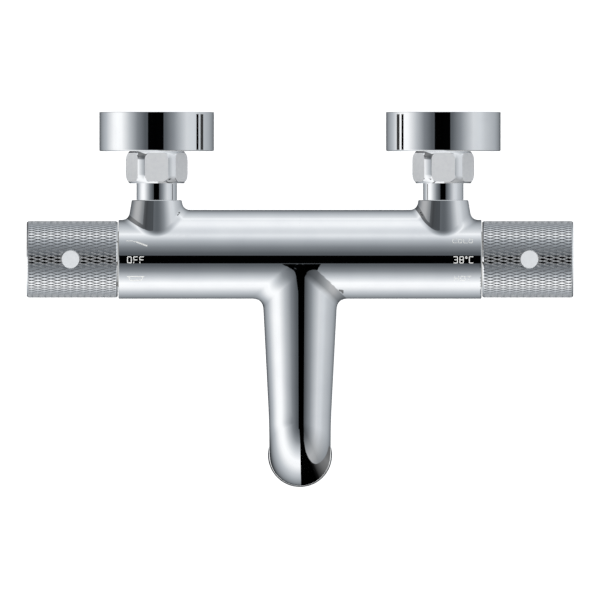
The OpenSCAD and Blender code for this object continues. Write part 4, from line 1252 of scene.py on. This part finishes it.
@dataclass
class Handle:
    """Diamond-knurled handle on one end of the body, with its cap and push button.

    Stations run outwards from the middle of the mixer.
    """

    side: Side
    axis_back: float = AXIS_BACK
    start: float = 95.4
    end: float = 143.0
    peak_r: float = 20.05
    depth: float = 0.17
    flat_from: float = 0.25
    rim: float = 0.8
    rim_drop: float = 0.4
    rim_bevel: float = 0.55
    bore_r: float = 17.7
    half_columns: float = 13.5
    diamonds: int = 70
    cells: int = 4
    button_at: float = 120.0
    button_r: float = 4.65
    hole_r: float = 4.8
    collar_r: float = 5.1
    button_top: float = 20.3
    flange_r: float = 5.1
    flange: tuple[float, float] = (16.8, 15.8)
    stem_r: float = 1.8
    stem_end: float = 10.7
    cap_r: float = 17.6
    cap: tuple[float, float] = (140.2, 142.7)
    cap_skirt_r: tuple[float, float] = (14.5, 16.0)
    cap_skirt_from: float = 136.2

    @property
    def prefix(self) -> str:
        """First word of this handle's piece names."""
        return "flow" if self.side is Side.HOT else "temp"

    @property
    def axis(self) -> Axis:
        """Axis of the handle, from the middle of the mixer outwards, with its first direction up."""
        return Axis((0, self.axis_back, 0), (self.side.value, 0, 0), (0, 0, 1))

    @property
    def button_axis(self) -> Axis:
        """Axis of the push button, upwards from the handle's own axis."""
        return upright(self.side.value * self.button_at, self.axis_back)

    @property
    def handle_body(self) -> Body:
        """Moving group of the handle."""
        return Body.FLOW_HANDLE if self.side is Side.HOT else Body.TEMP_HANDLE

    @property
    def button_body(self) -> Body:
        """Moving group of the button."""
        return Body.FLOW_BUTTON if self.side is Side.HOT else Body.TEMP_BUTTON

    def knurl_height(self, u: np.ndarray, v: np.ndarray) -> np.ndarray:
        """Height of the knurl from 0, in a groove, to 1, on a diamond.

        With tri the wave that is 0 at whole numbers and 1 midway, the height is the smaller of tri of half the
        sum and tri of half the difference of the two places, cut off flat at a quarter.

        Args:
            u: Place along the handle in half diamonds.
            v: Place round it in half diamonds.

        Returns:
            Heights.
        """
        return np.minimum(np.minimum(tri((u + v) / 2), tri((u - v) / 2)) / self.flat_from, 1)

    def knurled(self) -> Surface:
        """Build the sleeve: a knurled skin between two plain rims, and a smooth bore.

        The radius is the peak radius less the depth times (1 - height). Each cell is split along the groove
        that is nearer to its middle, so every groove and ridge is a straight crease. Round the button the skin
        sinks into a pocket whose edge is moved onto a true circle.

        Returns:
            The sleeve's surface.
        """
        columns = 2 * self.diamonds * self.cells
        rows = int(self.half_columns * self.cells) + 1
        u = np.linspace(0, self.half_columns, rows)[:, None]
        v = (np.arange(columns) / self.cells)[None, :]
        height = self.knurl_height(u, v)
        low = self.peak_r - self.depth
        length = self.end - self.start
        edge = [(self.bore_r, 0.0), (low - self.rim_drop, 0.0), (low, self.rim_bevel)]
        mirrored = [(r, length - s) for r, s in edge[::-1]]
        station = np.concatenate([[s for _, s in edge], np.linspace(self.rim, length - self.rim, rows),
                                  [s for _, s in mirrored]])[:, None] + self.start
        radius = np.concatenate([np.broadcast_to([[r] for r, _ in edge], (3, columns)),
                                 self.peak_r - self.depth * (1 - height),
                                 np.broadcast_to([[r] for r, _ in mirrored], (3, columns))])
        relief = np.concatenate([np.ones((3, columns)), height, np.ones((3, columns))])
        angle = np.broadcast_to(2 * np.pi * np.arange(columns) / columns, radius.shape).copy()
        station = np.broadcast_to(station, radius.shape).copy()
        radius = radius.copy()
        self.sink_pocket(radius, angle, station)
        quads = grid_faces(rows + 6, columns, wrap_rows=True)
        i, j = np.divmod(np.arange(len(quads)), columns)
        middle_u, middle_v = (i - 3 + 0.5) / self.cells, (j + 0.5) / self.cells
        tall = np.abs(np.sin(np.pi * (middle_u + middle_v) / 2)) < np.abs(np.sin(np.pi * (middle_u - middle_v) / 2))
        a, b, c, d = quads.T
        none = np.full(len(quads), -1)
        first = np.where(tall[:, None], np.stack([a, b, d, none], 1), np.stack([a, b, c, none], 1))
        second = np.where(tall[:, None], np.stack([b, c, d, none], 1), np.stack([a, c, d, none], 1))
        on_knurl = (i >= 2) & (i < rows + 3)
        faces = np.concatenate([first[on_knurl], second[on_knurl], quads[~on_knurl]])
        return surface(self.axis.place(radius, angle, station), faces, relief=relief)

    def sink_pocket(self, radius: np.ndarray, angle: np.ndarray, station: np.ndarray) -> None:
        """Sink the knurled skin round the button, in place, and move the edge points onto circles.

        Args:
            radius: Radii of the sleeve's grid.
            angle: Angles of the grid in radians.
            station: Stations of the grid.
        """
        along, across = station - self.button_at, radius * np.sin(angle)
        reach = np.hypot(along, across)
        skin = (np.cos(angle) > 0) & (radius > self.bore_r + 1)
        inside = skin & (reach < (self.hole_r + self.collar_r) / 2)
        rim = skin & self.spread(inside) & ~inside
        for mask, to in ((rim, self.collar_r - 0.1), (inside & self.spread(~inside), self.hole_r + 0.05)):
            share = to / reach[mask]
            station[mask] = self.button_at + along[mask] * share
            angle[mask] = np.arcsin(np.clip(across[mask] * share / radius[mask], -1, 1))
        radius[inside] = self.bore_r + 0.3

    @staticmethod
    def spread(mask: np.ndarray) -> np.ndarray:
        """Return a mask of the grid grown by one point each way, diagonals included."""
        ways = [(di, dj) for di in (-1, 0, 1) for dj in (-1, 0, 1)]
        return np.any([np.roll(mask, way, axis=(0, 1)) for way in ways], axis=0)

    def collar(self) -> Surface:
        """Build the smooth edge round the button's hole, whose top follows the round of the handle.

        A point's height is the root of the handle's radius squared less its place across squared.

        Returns:
            The ring's surface.
        """
        turn = full_turn(72)
        profile = np.array([(self.hole_r, -2.2), (self.hole_r, -0.06), (self.hole_r + 0.06, 0.0),
                            (self.collar_r - 0.06, 0.0), (self.collar_r, -0.06), (self.collar_r, -2.2)])
        reach, drop = profile[:, :1], profile[:, 1:]
        across = reach * np.sin(turn)
        up = np.sqrt((self.peak_r + 0.02) ** 2 - across ** 2) + drop
        points = np.stack([self.side.value * (self.button_at + reach * np.cos(turn)), self.axis_back + across, up],
                          axis=-1)
        return surface(points, grid_faces(len(profile), turn.shape[1], wrap_rows=True), 1)

    def end_cap(self) -> None:
        """Make the cap in the handle's outer end, with the skirt that holds it in the core."""
        low, high = self.cap
        disc = rounded([(0.0, low), (self.cap_r, low), (self.cap_r, high), (0.0, high)], [0, 0.15, 0.4, 0])
        skirt = rounded([(self.cap_skirt_r[0], self.cap_skirt_from), (self.cap_skirt_r[1], self.cap_skirt_from),
                         (self.cap_skirt_r[1], low + 0.4), (self.cap_skirt_r[0], low + 0.4)], [0.2, 0.2, 0, 0],
                        closed=True, steps=3)
        shape = joined([turned(disc, self.axis, 160), turned(skirt, self.axis, 120, closed=True)])
        make_piece(f"{self.prefix}_end_cap", shape, [POLISHED_CHROME], self.handle_body,
                   (f"{self.prefix}_handle_cap",))

    def button(self) -> None:
        """Make the push button: a flat face with a rounded edge, a flange that keeps it in, and its stem."""
        high, low = self.flange
        profile = rounded(
            [(0.0, self.button_top), (self.button_r, self.button_top), (self.button_r, high),
             (self.flange_r, high), (self.flange_r, low), (self.stem_r, low), (self.stem_r, self.stem_end),
             (0.0, self.stem_end)], [0, 0.35, 0, 0.1, 0.1, 0, 0.2, 0])
        make_piece(f"{self.prefix}_push_button", turned(profile, self.button_axis, 96), [BUTTON_GREY],
                   self.button_body, (f"{self.prefix}_button",))

    def build(self) -> None:
        """Make the handle's pieces."""
        shape = joined([self.knurled(), self.collar()])
        make_piece(f"{self.prefix}_knurled_sleeve", shape, [KNURLED_CHROME, POLISHED_CHROME], self.handle_body,
                   (f"{self.prefix}_handle_sleeve",), smooth=8)
        self.end_cap()
        self.button()


# Outlets


@dataclass
class Outlets:
    """Nipple for the shower hose, under the body, and the ring that holds the aerator in the spout."""

    axis_back: float = AXIS_BACK
    shower_at: float = SHOWER_AT
    flange_r: float = 11.7
    flange: tuple[float, float] = (-25.1, -23.1)
    thread_r: float = 10.45
    thread_end: float = -35.1
    thread_pitch: float = 1.814
    thread_depth: float = 1.16
    thread_gap: float = 1.0
    thread_chamfer: float = 0.9
    thread_fade: tuple[float, float] = (0.9, 0.5)
    bore_r: float = 6.5
    root_r: float = 9.1
    root_end: float = -14.6
    outlet_at: float = OUTLET_AT
    aerator_r: float = 13.0
    aerator_in: float = 11.1
    aerator: tuple[float, float] = (-28.6, -19.05)
    notch_depth: float = 1.1
    notch_from: float = 0.985
    notch_edge: float = 0.006
    notch_band: float = 0.35

    def nipple(self) -> None:
        """Make the nipple: a flange with a G 1/2 thread below it.

        The thread's radius is the crest radius less its depth times a triangle wave of the station less the
        share of a turn, so the ridge climbs one pitch a turn. The wave is stretched by a quarter and lowered
        by a tenth, which flattens crests and roots. It fades in over the first half pitch and out at the end.
        """
        turn = full_turn(96)
        top, bottom = self.flange[0] - self.thread_gap, self.thread_end + self.thread_chamfer
        station = np.linspace(top, bottom, 76)[:, None]
        phase = (station - top) / self.thread_pitch - turn / (2 * np.pi)
        fade = np.clip((top - station) / self.thread_fade[0], 0, 1)
        fade = fade * np.clip((station - bottom) / self.thread_fade[1], 0, 1)
        radius = self.thread_r - self.thread_depth * np.clip(1.25 * tri(phase) - 0.1, 0, 1) * fade
        above = rounded([(self.root_r, self.root_end), (self.root_r, self.flange[1]),
                         (self.flange_r, self.flange[1]), (self.flange_r, self.flange[0]),
                         (self.thread_r, self.flange[0])], [0, 0, 0.3, 0.3, 0], steps=4)
        below = rounded([(self.thread_r, bottom - 0.02), (self.thread_r - self.thread_chamfer, self.thread_end),
                         (self.bore_r, self.thread_end), (self.bore_r, self.root_end)], [0, 0, 0.3, 0], steps=3)
        above_r, below_r = (np.broadcast_to(part[:, :1], (len(part), turn.size)) for part in (above, below))
        stations = np.concatenate([above[:, 1:], station, below[:, 1:]])
        points = upright(self.shower_at, self.axis_back).place(
            np.concatenate([above_r, radius, below_r]), turn, stations)
        shape = surface(points, grid_faces(len(stations), turn.size, wrap_rows=True))
        make_piece("shower_hose_nipple", shape, [POLISHED_CHROME], Body.ROOT, ("shower_nipple",))

    def aerator_ring(self) -> None:
        """Make the ring that holds the aerator, with two notches for its key.

        A notch lies where the cosine of the angle passes a limit, and its sides rise over the edge's growth of
        the cosine. It lifts the points of the lowest band by its depth.
        """
        low, high = self.aerator
        profile = rounded([(self.aerator_in, low), (self.aerator_r, low), (self.aerator_r, high),
                           (self.aerator_in, high)], [0.3, 0.3, 0.2, 0.2], closed=True, steps=4)
        turn = full_turn(144)
        notch = np.clip((np.abs(np.cos(turn)) - self.notch_from) / self.notch_edge, 0, 1)
        radius = np.broadcast_to(profile[:, :1], (len(profile), turn.size))
        station = profile[:, 1:] + np.where(profile[:, 1:] < low + self.notch_band, self.notch_depth, 0.0) * notch
        points = upright(0, self.outlet_at).place(radius, turn, station)
        shape = surface(points, grid_faces(len(profile), turn.size, wrap_rows=True))
        make_piece("aerator_ring", shape, [POLISHED_CHROME], Body.ROOT, ("aerator_housing",))

    def build(self) -> None:
        """Make the outlets' pieces."""
        self.nipple()
        self.aerator_ring()


# Printed marks

# Strokes of each letter in a box one wide and one high, each with whether it closes on itself
STROKES = {
    "O": [([(0, 0), (1, 0), (1, 1), (0, 1)], True)],
    "F": [([(0, 0), (0, 1), (1, 1)], False), ([(0, 0.5), (0.85, 0.5)], False)],
    "3": [([(0, 1), (1, 1), (1, 0), (0, 0)], False), ([(0.25, 0.5), (1, 0.5)], False)],
    "8": [([(0, 0), (1, 0), (1, 1), (0, 1)], True), ([(0, 0.5), (1, 0.5)], False)],
    "C": [([(1, 1), (0, 1), (0, 0), (1, 0)], False)],
    "L": [([(0, 1), (0, 0), (1, 0)], False)],
    "D": [([(0, 0), (1, 0), (1, 1), (0, 1)], True)],
    "H": [([(0, 0), (0, 1)], False), ([(1, 0), (1, 1)], False), ([(0, 0.5), (1, 0.5)], False)],
    "T": [([(0, 1), (1, 1)], False), ([(0.5, 0), (0.5, 1)], False)],
    "°": [([(0, 0.72), (0.4, 0.72), (0.4, 1), (0, 1)], True)],
}


# Words: letters, left edge, middle round the body, width, height, and width of the strokes
WORDS = {
    "print_off": ("OFF", -90.4, -0.3, 8.8, 3.6, 0.44),
    "print_38_degrees": ("38°C", 80.3, -0.3, 10.3, 3.7, 0.44),
    "print_cold": ("COLD", 79.8, 9.93, 10.6, 2.5, 0.3),
    "print_hot": ("HOT", 80.7, -10.4, 9.0, 2.8, 0.3),
}


@dataclass
class Print:
    """Marks printed on top of the body, beside each handle.

    The gap between letters and the radius of their corners are shares of a letter's width.
    """

    axis_back: float = AXIS_BACK
    skin_r: float = TUBE_R
    height: float = 0.04
    gap: float = 0.34
    corner: float = 0.15

    def ribbon(self, line: np.ndarray, width: float, closed: bool) -> Surface:
        """Lay a stroke of ink on the body along a flat line.

        The section is a thin rectangle, square to the line. A place v round the body stands at the angle v
        over the body's radius.

        Args:
            line: Points as places along and round the body.
            width: Width of the stroke.
            closed: Whether the line closes on itself.

        Returns:
            The stroke's surface.
        """
        ahead = np.roll(line, -1, axis=0) - line
        behind = line - np.roll(line, 1, axis=0)
        if not closed:
            ahead[-1], behind[0] = behind[-1], ahead[0]
        ahead, behind = (d / np.linalg.norm(d, axis=1, keepdims=True) for d in (ahead, behind))
        along = ahead + behind
        along /= np.linalg.norm(along, axis=1, keepdims=True)
        side = np.stack([-along[:, 1], along[:, 0]], axis=-1) / np.maximum((along * ahead).sum(1), 0.5)[:, None]
        if not closed:
            line = line.copy()
            line[0] -= along[0] * width / 2
            line[-1] += along[-1] * width / 2
        section = np.array([(-0.5, -0.03), (-0.5, self.height), (0.5, self.height), (0.5, -0.03)])
        flat = line[:, None, :] + side[:, None, :] * width * section[None, :, :1]
        reach = self.skin_r + np.broadcast_to(section[None, :, 1], flat.shape[:2])
        angle = flat[..., 1] / self.skin_r
        points = np.stack([flat[..., 0], self.axis_back + reach * np.sin(angle), reach * np.cos(angle)], axis=-1)
        faces = grid_faces(len(line), 4, wrap_rows=closed)
        if not closed:
            last = 4 * (len(line) - 1)
            faces = np.vstack([faces, [[0, 1, 2, 3]], [[last + 3, last + 2, last + 1, last]]])
        return surface(points, faces)

    def word(self, text: str, left: float, middle: float, width: float, height: float,
             stroke: float) -> list[Surface]:
        """Lay out a word.

        Args:
            text: The word.
            left: Place of its left edge along the body.
            middle: Place of its middle round the body.
            width: Its whole width.
            height: Height of its letters.
            stroke: Width of the strokes.

        Returns:
            Surfaces of its strokes.
        """
        widths = np.array([0.5 if letter == "°" else 1.0 for letter in text])
        unit = width / (widths.sum() + self.gap * (len(text) - 1))
        starts = left + unit * np.concatenate([[0], np.cumsum(widths[:-1] + self.gap)])
        parts = []
        for letter, start in zip(text, starts):
            for corners, closed in STROKES[letter]:
                box = np.array([unit - stroke, height - stroke])
                line = [tuple(np.array(c) * box + [start + stroke / 2, middle - height / 2 + stroke / 2])
                        for c in corners]
                curve = rounded(line, [self.corner * unit] * len(line), closed, steps=5, hold=0.01)
                parts.append(self.ribbon(curve, stroke, closed))
        return parts

    def mark(self, name: str, parts: list[Surface]) -> None:
        """Make one printed mark of its strokes."""
        make_piece(name, joined(parts), [PRINT_INK], Body.ROOT)

    def build(self) -> None:
        """Make the words beside the handles and the two outlet pictures."""
        for name, word in WORDS.items():
            self.mark(name, self.word(*word))
        self.pictures()

    def pictures(self) -> None:
        """Make the hand shower and the bath tub that say where the water goes."""
        hose = rounded([(-90.7, 10.0), (-87.6, 10.0), (-85.2, 9.2)], [0, 1.5, 0], steps=4)
        head = np.array([(-85.4, 9.3), (-80.2, 7.2)])
        parts = [self.ribbon(hose, 0.4, False), self.ribbon(head, 0.8, False)]
        self.mark("print_shower_picture", parts)
        tub = rounded([(-89.6, -9.3), (-88.9, -11.6), (-83.0, -11.6), (-82.3, -9.3)], [0, 1.0, 1.0, 0], steps=4)
        rim = np.array([(-90.2, -9.3), (-81.7, -9.3)])
        self.mark("print_bath_picture", [self.ribbon(line, 0.45, False) for line in (tub, rim)])


# Studio

# Light of the studio as a shade of grey at each angle from straight up, towards each of its four sides
STUDIO_RAMPS = {
    "front": [(0, 80), (18, 95), (35, 138), (55, 208), (74, 255), (88, 250), (110, 205), (130, 168), (155, 118),
              (168, 45), (180, 30)],
    "back": [(0, 80), (18, 92), (36, 131), (55, 181), (65, 211), (73, 231), (79, 246), (86, 224), (98, 205),
             (113, 183), (145, 118), (168, 45), (180, 30)],
    "left": [(0, 80), (22, 88), (38, 130), (55, 190), (75, 250), (85, 255), (96, 248), (122, 186), (145, 142),
             (168, 50), (180, 30)],
    "right": [(0, 80), (18, 92), (35, 140), (52, 190), (63, 214), (80, 212), (95, 194), (128, 168), (155, 120),
              (168, 45), (180, 30)],
}


@dataclass
class Studio:
    """Camera, lights, surroundings and floor."""

    camera_at: tuple[float, float, float] = (0.0, -0.0984, 14.0)
    lens: float = 1604.0
    chrome_reflects: float = 0.87
    cool: float = 4.5
    floor_at: float = -1.8
    floor_back: float = -0.098
    floor_r: float = 0.38
    outlet_at: float = OUTLET_AT
    over_flag_at: float = 52.0
    tip_flag_r: float = 23.0
    tip_flag_from: float = -40.0

    def camera(self) -> None:
        """Set the camera straight above the mixer, far away with a long lens, as the photograph shows it."""
        data = bpy.data.cameras.new("camera")
        data.lens, data.sensor_width = self.lens, 36.0
        data.clip_end = 60.0
        rig = placed("camera", data)
        rig.location = self.camera_at
        bpy.context.scene.camera = rig

    def ramp(self, angle: Value, name: str) -> bpy.types.NodeSocket:
        """Return the light towards one side of the studio, at an angle from straight up.

        A grey of level g is linear(g) over what the chrome reflects. Its red is lowered and its blue raised by
        the coolness times 4 g (1 - g), so black and white stay neutral.

        Args:
            angle: Angle from straight up as a share of 180 degrees.
            name: The side.

        Returns:
            Socket of the light's colour.
        """
        node = add_node(angle.tree, "ShaderNodeValToRGB", {"Fac": angle.socket})
        stops = node.color_ramp.elements
        while len(stops) > 1:
            stops.remove(stops[-1])
        for i, (degrees, level) in enumerate(STUDIO_RAMPS[name]):
            stop = stops[0] if i == 0 else stops.new(degrees / 180)
            stop.position = degrees / 180
            shift = self.cool * 4 * level / 255 * (1 - level / 255)
            channels = [linear(grey(level + sign * shift))[0] / self.chrome_reflects for sign in (-1, 0, 1)]
            stop.color = (*channels, 1.0)
        return node.outputs["Color"]

    def surroundings(self) -> None:
        """Light the mixer from all round, with the light that its chrome shows in the photograph.

        The light towards a direction is a mix of four ramps over the angle from straight up. The weights are
        the squares of the direction's level parts towards each side. The left ramp leans: seen from the front
        its angle grows, from the back it shrinks, by up to ten degrees. A dark card hangs overhead, and grey
        flags stand to the front right, the left and the back left. The camera itself sees plain white.
        """
        world = bpy.data.worlds.new("studio")
        bpy.context.scene.world = world
        tree = clear_tree(world)
        place = add_node(tree, "ShaderNodeTexCoord")
        way = add_node(tree, "ShaderNodeVectorMath", {0: place.outputs["Generated"]}, operation="NORMALIZE")
        parts = add_node(tree, "ShaderNodeSeparateXYZ", {0: way.outputs[0]})
        x, y, z = (Value(tree, parts.outputs[i]) for i in range(3))
        angle = z.by("MAXIMUM", -1.0).by("MINIMUM", 1.0).by("ARCCOSINE") / math.pi
        level = x * x + y * y + 1e-6
        lean = (y / level.by("SQRT")).carried(-0.17, 0.17, -10 / 180, 10 / 180)
        total = None
        for name, part, sign in (("front", y, -1.0), ("back", y, 1.0), ("left", x, -1.0), ("right", x, 1.0)):
            towards = (part * sign).by("MAXIMUM", 0.0)
            colour = self.ramp(angle - lean if name == "left" else angle, name)
            light = add_node(tree, "ShaderNodeVectorMath", {0: colour, "Scale": (towards * towards / level).socket},
                             operation="SCALE").outputs[0]
            total = light if total is None else add_node(
                tree, "ShaderNodeVectorMath", {0: total, 1: light}, operation="ADD").outputs[0]
        azimuth = y.by("ARCTAN2", x)
        passes = self.card(x, y, z) * self.flags(azimuth, angle)
        shown = add_node(tree, "ShaderNodeVectorMath", {0: total, "Scale": passes.socket},
                         operation="SCALE").outputs[0]
        path = add_node(tree, "ShaderNodeLightPath")
        camera = Value(tree, path.outputs["Is Camera Ray"])
        back = add_node(tree, "ShaderNodeBackground", {"Color": camera.blend(shown, "#ffffff")})
        add_node(tree, "ShaderNodeOutputWorld", {"Surface": back.outputs[0]})

    @staticmethod
    def flags(azimuth: Value, angle: Value) -> Value:
        """Return how much of the light passes the upright flags round the studio.

        Args:
            azimuth: Direction round the studio in radians, 0 to the temperature handle and growing to the wall.
            angle: Angle from straight up as a share of 180 degrees.

        Returns:
            Share of the light that passes.
        """
        soft = math.radians(2.0)
        starts = azimuth.carried(math.radians(-88.5), math.radians(-86.5))
        front_right = starts * azimuth.carried(math.radians(-42), math.radians(-8), 0.52, 0.0)
        back_left = azimuth.within(math.radians(125), math.radians(161), soft)
        beside = azimuth.within(math.radians(161), math.radians(175), soft)
        thickness = angle.carried(30 / 180, 47 / 180, 0.45, 0.77)
        return (front_right * -1.0 + 1.0) * (back_left * thickness * -1.0 + 1.0) * (beside * -0.55 + 1.0)

    @staticmethod
    def card(x: Value, y: Value, z: Value) -> Value:
        """Return how much of the light passes the dark card overhead: next to none inside it, all outside.

        The card is made of two rectangles that overlap. Each spans set shares of the height to the left, right,
        front and back.

        Args:
            x: Direction's part towards the temperature handle.
            y: Direction's part towards the wall.
            z: Direction's part upwards.

        Returns:
            Share of the light that passes.
        """
        height = z.by("MAXIMUM", 1e-4)
        side, fore = x / height, y / height
        inside = None
        for left, right, front, back in ((-0.313, 0.25, -0.05, 0.194), (-0.1, 0.25, -0.216, 0.0)):
            part = side.within(left, right, 0.02) * fore.within(front, back, 0.02)
            inside = part if inside is None else inside.by("MAXIMUM", part)
        inside = inside * z.by("GREATER_THAN", 0.0)
        return inside.carried(0.0, 1.0, 1.0, 0.006)

    def lamps(self) -> None:
        """Hang two broad soft lamps, which reach matt surfaces only and stay out of the chrome's reflections."""
        for name, at, watts in (("lamp_left", (-1.6, -0.9, 2.2), 42.0), ("lamp_right", (1.6, -0.4, 2.2), 32.0)):
            data = bpy.data.lights.new(name, "AREA")
            data.shape, data.size, data.size_y, data.energy = "RECTANGLE", 1.6, 1.6, watts
            lamp = placed(name, data)
            lamp.location = at
            away = np.array(at) - np.array([0.0, -0.09, 0.0])
            lamp.rotation_euler = (math.atan2(math.hypot(away[0], away[1]), away[2]), 0.0,
                                   math.atan2(away[0], -away[1]))
            lamp.visible_glossy = False

    def near_flags(self) -> None:
        """Hang black flags close to the spout and between the inlets, which only the chrome sees.

        One hangs over the spout and opens towards the body. The other bends round the tip: it carries the
        black band on down to the rim, and to the right of it grades from black to grey under a falling edge.
        Three narrow ones stand midway between the inlets and draw the fine upright lines in covers and tails.
        """
        over = np.array([(-87, -9.5, 11), (-91, -8, 10.5), (-98, -4.1, 9.5), (-150, -4.1, 9.5), (-203, 0.6, 13.8)])
        height = np.full(len(over), self.over_flag_at)
        self.flag("flag_over_spout", np.stack([over[:, 1], over[:, 0], height], axis=-1),
                  np.stack([over[:, 2], over[:, 0], height], axis=-1), [0] * len(over))
        # Angle round the outlet of the lower and the upper edge, height of the upper edge, and grey
        tip = np.array([(-88, -88, 52, 0), (-84, -72, 52, 0), (-79, -53, 52, 0), (-73, -56.5, 41, 0),
                        (-67, -58, 26, 0), (-59, -54, 14, 0), (-52, -48, 6, 20), (-42, -41, 1.5, 76),
                        (-30, -30, -1.9, 114), (-17, -17, -4.8, 130), (-5, -5, -7.3, 112), (8, 8, -8.8, 106)])
        outlet = upright(0, self.outlet_at)
        self.flag("flag_round_tip", outlet.place(self.tip_flag_r, np.radians(tip[:, 0]), self.tip_flag_from),
                  outlet.place(self.tip_flag_r, np.radians(tip[:, 1]), tip[:, 2]), list(tip[:, 3]))
        for name, front, back, low_z, high_z, light in (
                ("flag_covers_high", -20.2, -0.8, 17.5, 24.2, 8), ("flag_covers_low", -20.2, -0.8, 1.0, 11.0, 62),
                ("flag_tails", -46.0, -37.4, -11.0, -4.0, 62)):
            self.flag(name, np.array([(0, front, low_z), (0, back, low_z)]),
                      np.array([(0, front, high_z), (0, back, high_z)]), [light] * 2)

    @staticmethod
    def flag(name: str, first: np.ndarray, second: np.ndarray, greys: list[float]) -> None:
        """Stretch one flag between two edges.

        Args:
            name: Its name.
            first: Points of one edge in millimetres.
            second: Points of the other edge.
            greys: Level of grey at each pair of points.
        """
        count = len(first)
        mesh = bpy.data.meshes.new(name)
        lower = np.arange(count - 1)
        mesh.from_pydata((np.vstack([first, second]) * MM).tolist(), [],
                         np.stack([lower, lower + 1, lower + 1 + count, lower + count], axis=-1).tolist())
        light = np.array([linear(grey(level))[0] for level in greys * 2], dtype=np.float32)
        mesh.attributes.new("light", "FLOAT", "POINT").data.foreach_set("value", light)
        made = bpy.data.materials.get("graded_black_flag")
        if not made:
            made = bpy.data.materials.new("graded_black_flag")
            tree = clear_tree(made)
            shown = add_node(tree, "ShaderNodeAttribute", attribute_name="light")
            glow = add_node(tree, "ShaderNodeEmission", {"Color": shown.outputs["Color"]})
            add_node(tree, "ShaderNodeOutputMaterial", {"Surface": glow.outputs[0]})
        mesh.materials.append(made)
        piece = placed(name, mesh)
        piece.visible_camera = piece.visible_diffuse = piece.visible_shadow = piece.visible_transmission = False

    def floor(self) -> None:
        """Lay a pale round floor well below the mixer, which takes its faint shadow.

        The floor is turned from the profile radius, height: a disc whose rim is rounded.
        """
        profile = rounded([(0.0, 0.0), (self.floor_r, 0.0), (self.floor_r, -0.03), (0.0, -0.03)],
                          [0, 0.01, 0.01, 0], hold=0.002)
        sides = 96
        points = upright(0, self.floor_back).place(profile[:, :1], full_turn(sides), self.floor_at + profile[:, 1:])
        mesh = bpy.data.meshes.new("floor")
        mesh.from_pydata(points.reshape(-1, 3).tolist(), [], grid_faces(len(profile), sides).tolist())
        close_up(mesh)
        mesh.materials.append(self.floor_material())
        piece = placed("floor", mesh)

    def floor_material(self) -> bpy.types.Material:
        """Pale matt floor, topped up to white for the camera and in reflections, and clear from below.

        Returns:
            The floor's material.
        """
        made = bpy.data.materials.new("pale_studio_floor")
        tree = clear_tree(made)
        speckle = waves(tree, 60.0).blend("#efefef", "#e9e9e9")
        matt = add_node(tree, "ShaderNodeBsdfDiffuse", {"Color": speckle})
        path = add_node(tree, "ShaderNodeLightPath")
        camera, glossy, through = (Value(tree, path.outputs[name]) for name in (
            "Is Camera Ray", "Is Glossy Ray", "Is Transmission Ray"))
        strength = camera.by("MAXIMUM", glossy).by("MAXIMUM", through) * 0.52
        glow = add_node(tree, "ShaderNodeEmission", {"Color": linear("#ffffff"), "Strength": strength.socket})
        lit = add_node(tree, "ShaderNodeAddShader", {0: matt.outputs[0], 1: glow.outputs[0]})
        under = add_node(tree, "ShaderNodeNewGeometry")
        clear = add_node(tree, "ShaderNodeBsdfTransparent")
        whole = add_node(tree, "ShaderNodeMixShader", {
            0: under.outputs["Backfacing"], 1: lit.outputs[0], 2: clear.outputs[0]})
        add_node(tree, "ShaderNodeOutputMaterial", {"Surface": whole.outputs[0]})
        return made

    def build(self) -> None:
        """Set up the studio, and leave colours as they are written."""
        bpy.context.scene.view_settings.view_transform = "Standard"
        self.camera()
        self.surroundings()
        self.lamps()
        self.near_flags()
        self.floor()


def dress_carried_over() -> None:
    """Give every CAD node its finish, and keep it out of reflections."""
    for part in frame["record"]["subparts"]:
        node = frame["nodes"][part["node"]]
        finish = NODE_FINISH.get(part["node"], SLOT_FINISH[Slot(part["material_slot"])])
        node.data.materials.clear()
        node.data.materials.append(finish.material())
        node.visible_glossy = False


def main() -> None:
    """Build the mixer and its studio."""
    logging.basicConfig(level=logging.INFO, format="%(name)s: %(message)s")
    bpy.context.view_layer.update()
    Studio().build()
    dress_carried_over()
    Casting().build()
    for side in Side:
        Inlet(side).build()
        Handle(side).build()
    Outlets().build()
    Print().build()


if __name__ == "__main__":
    main()
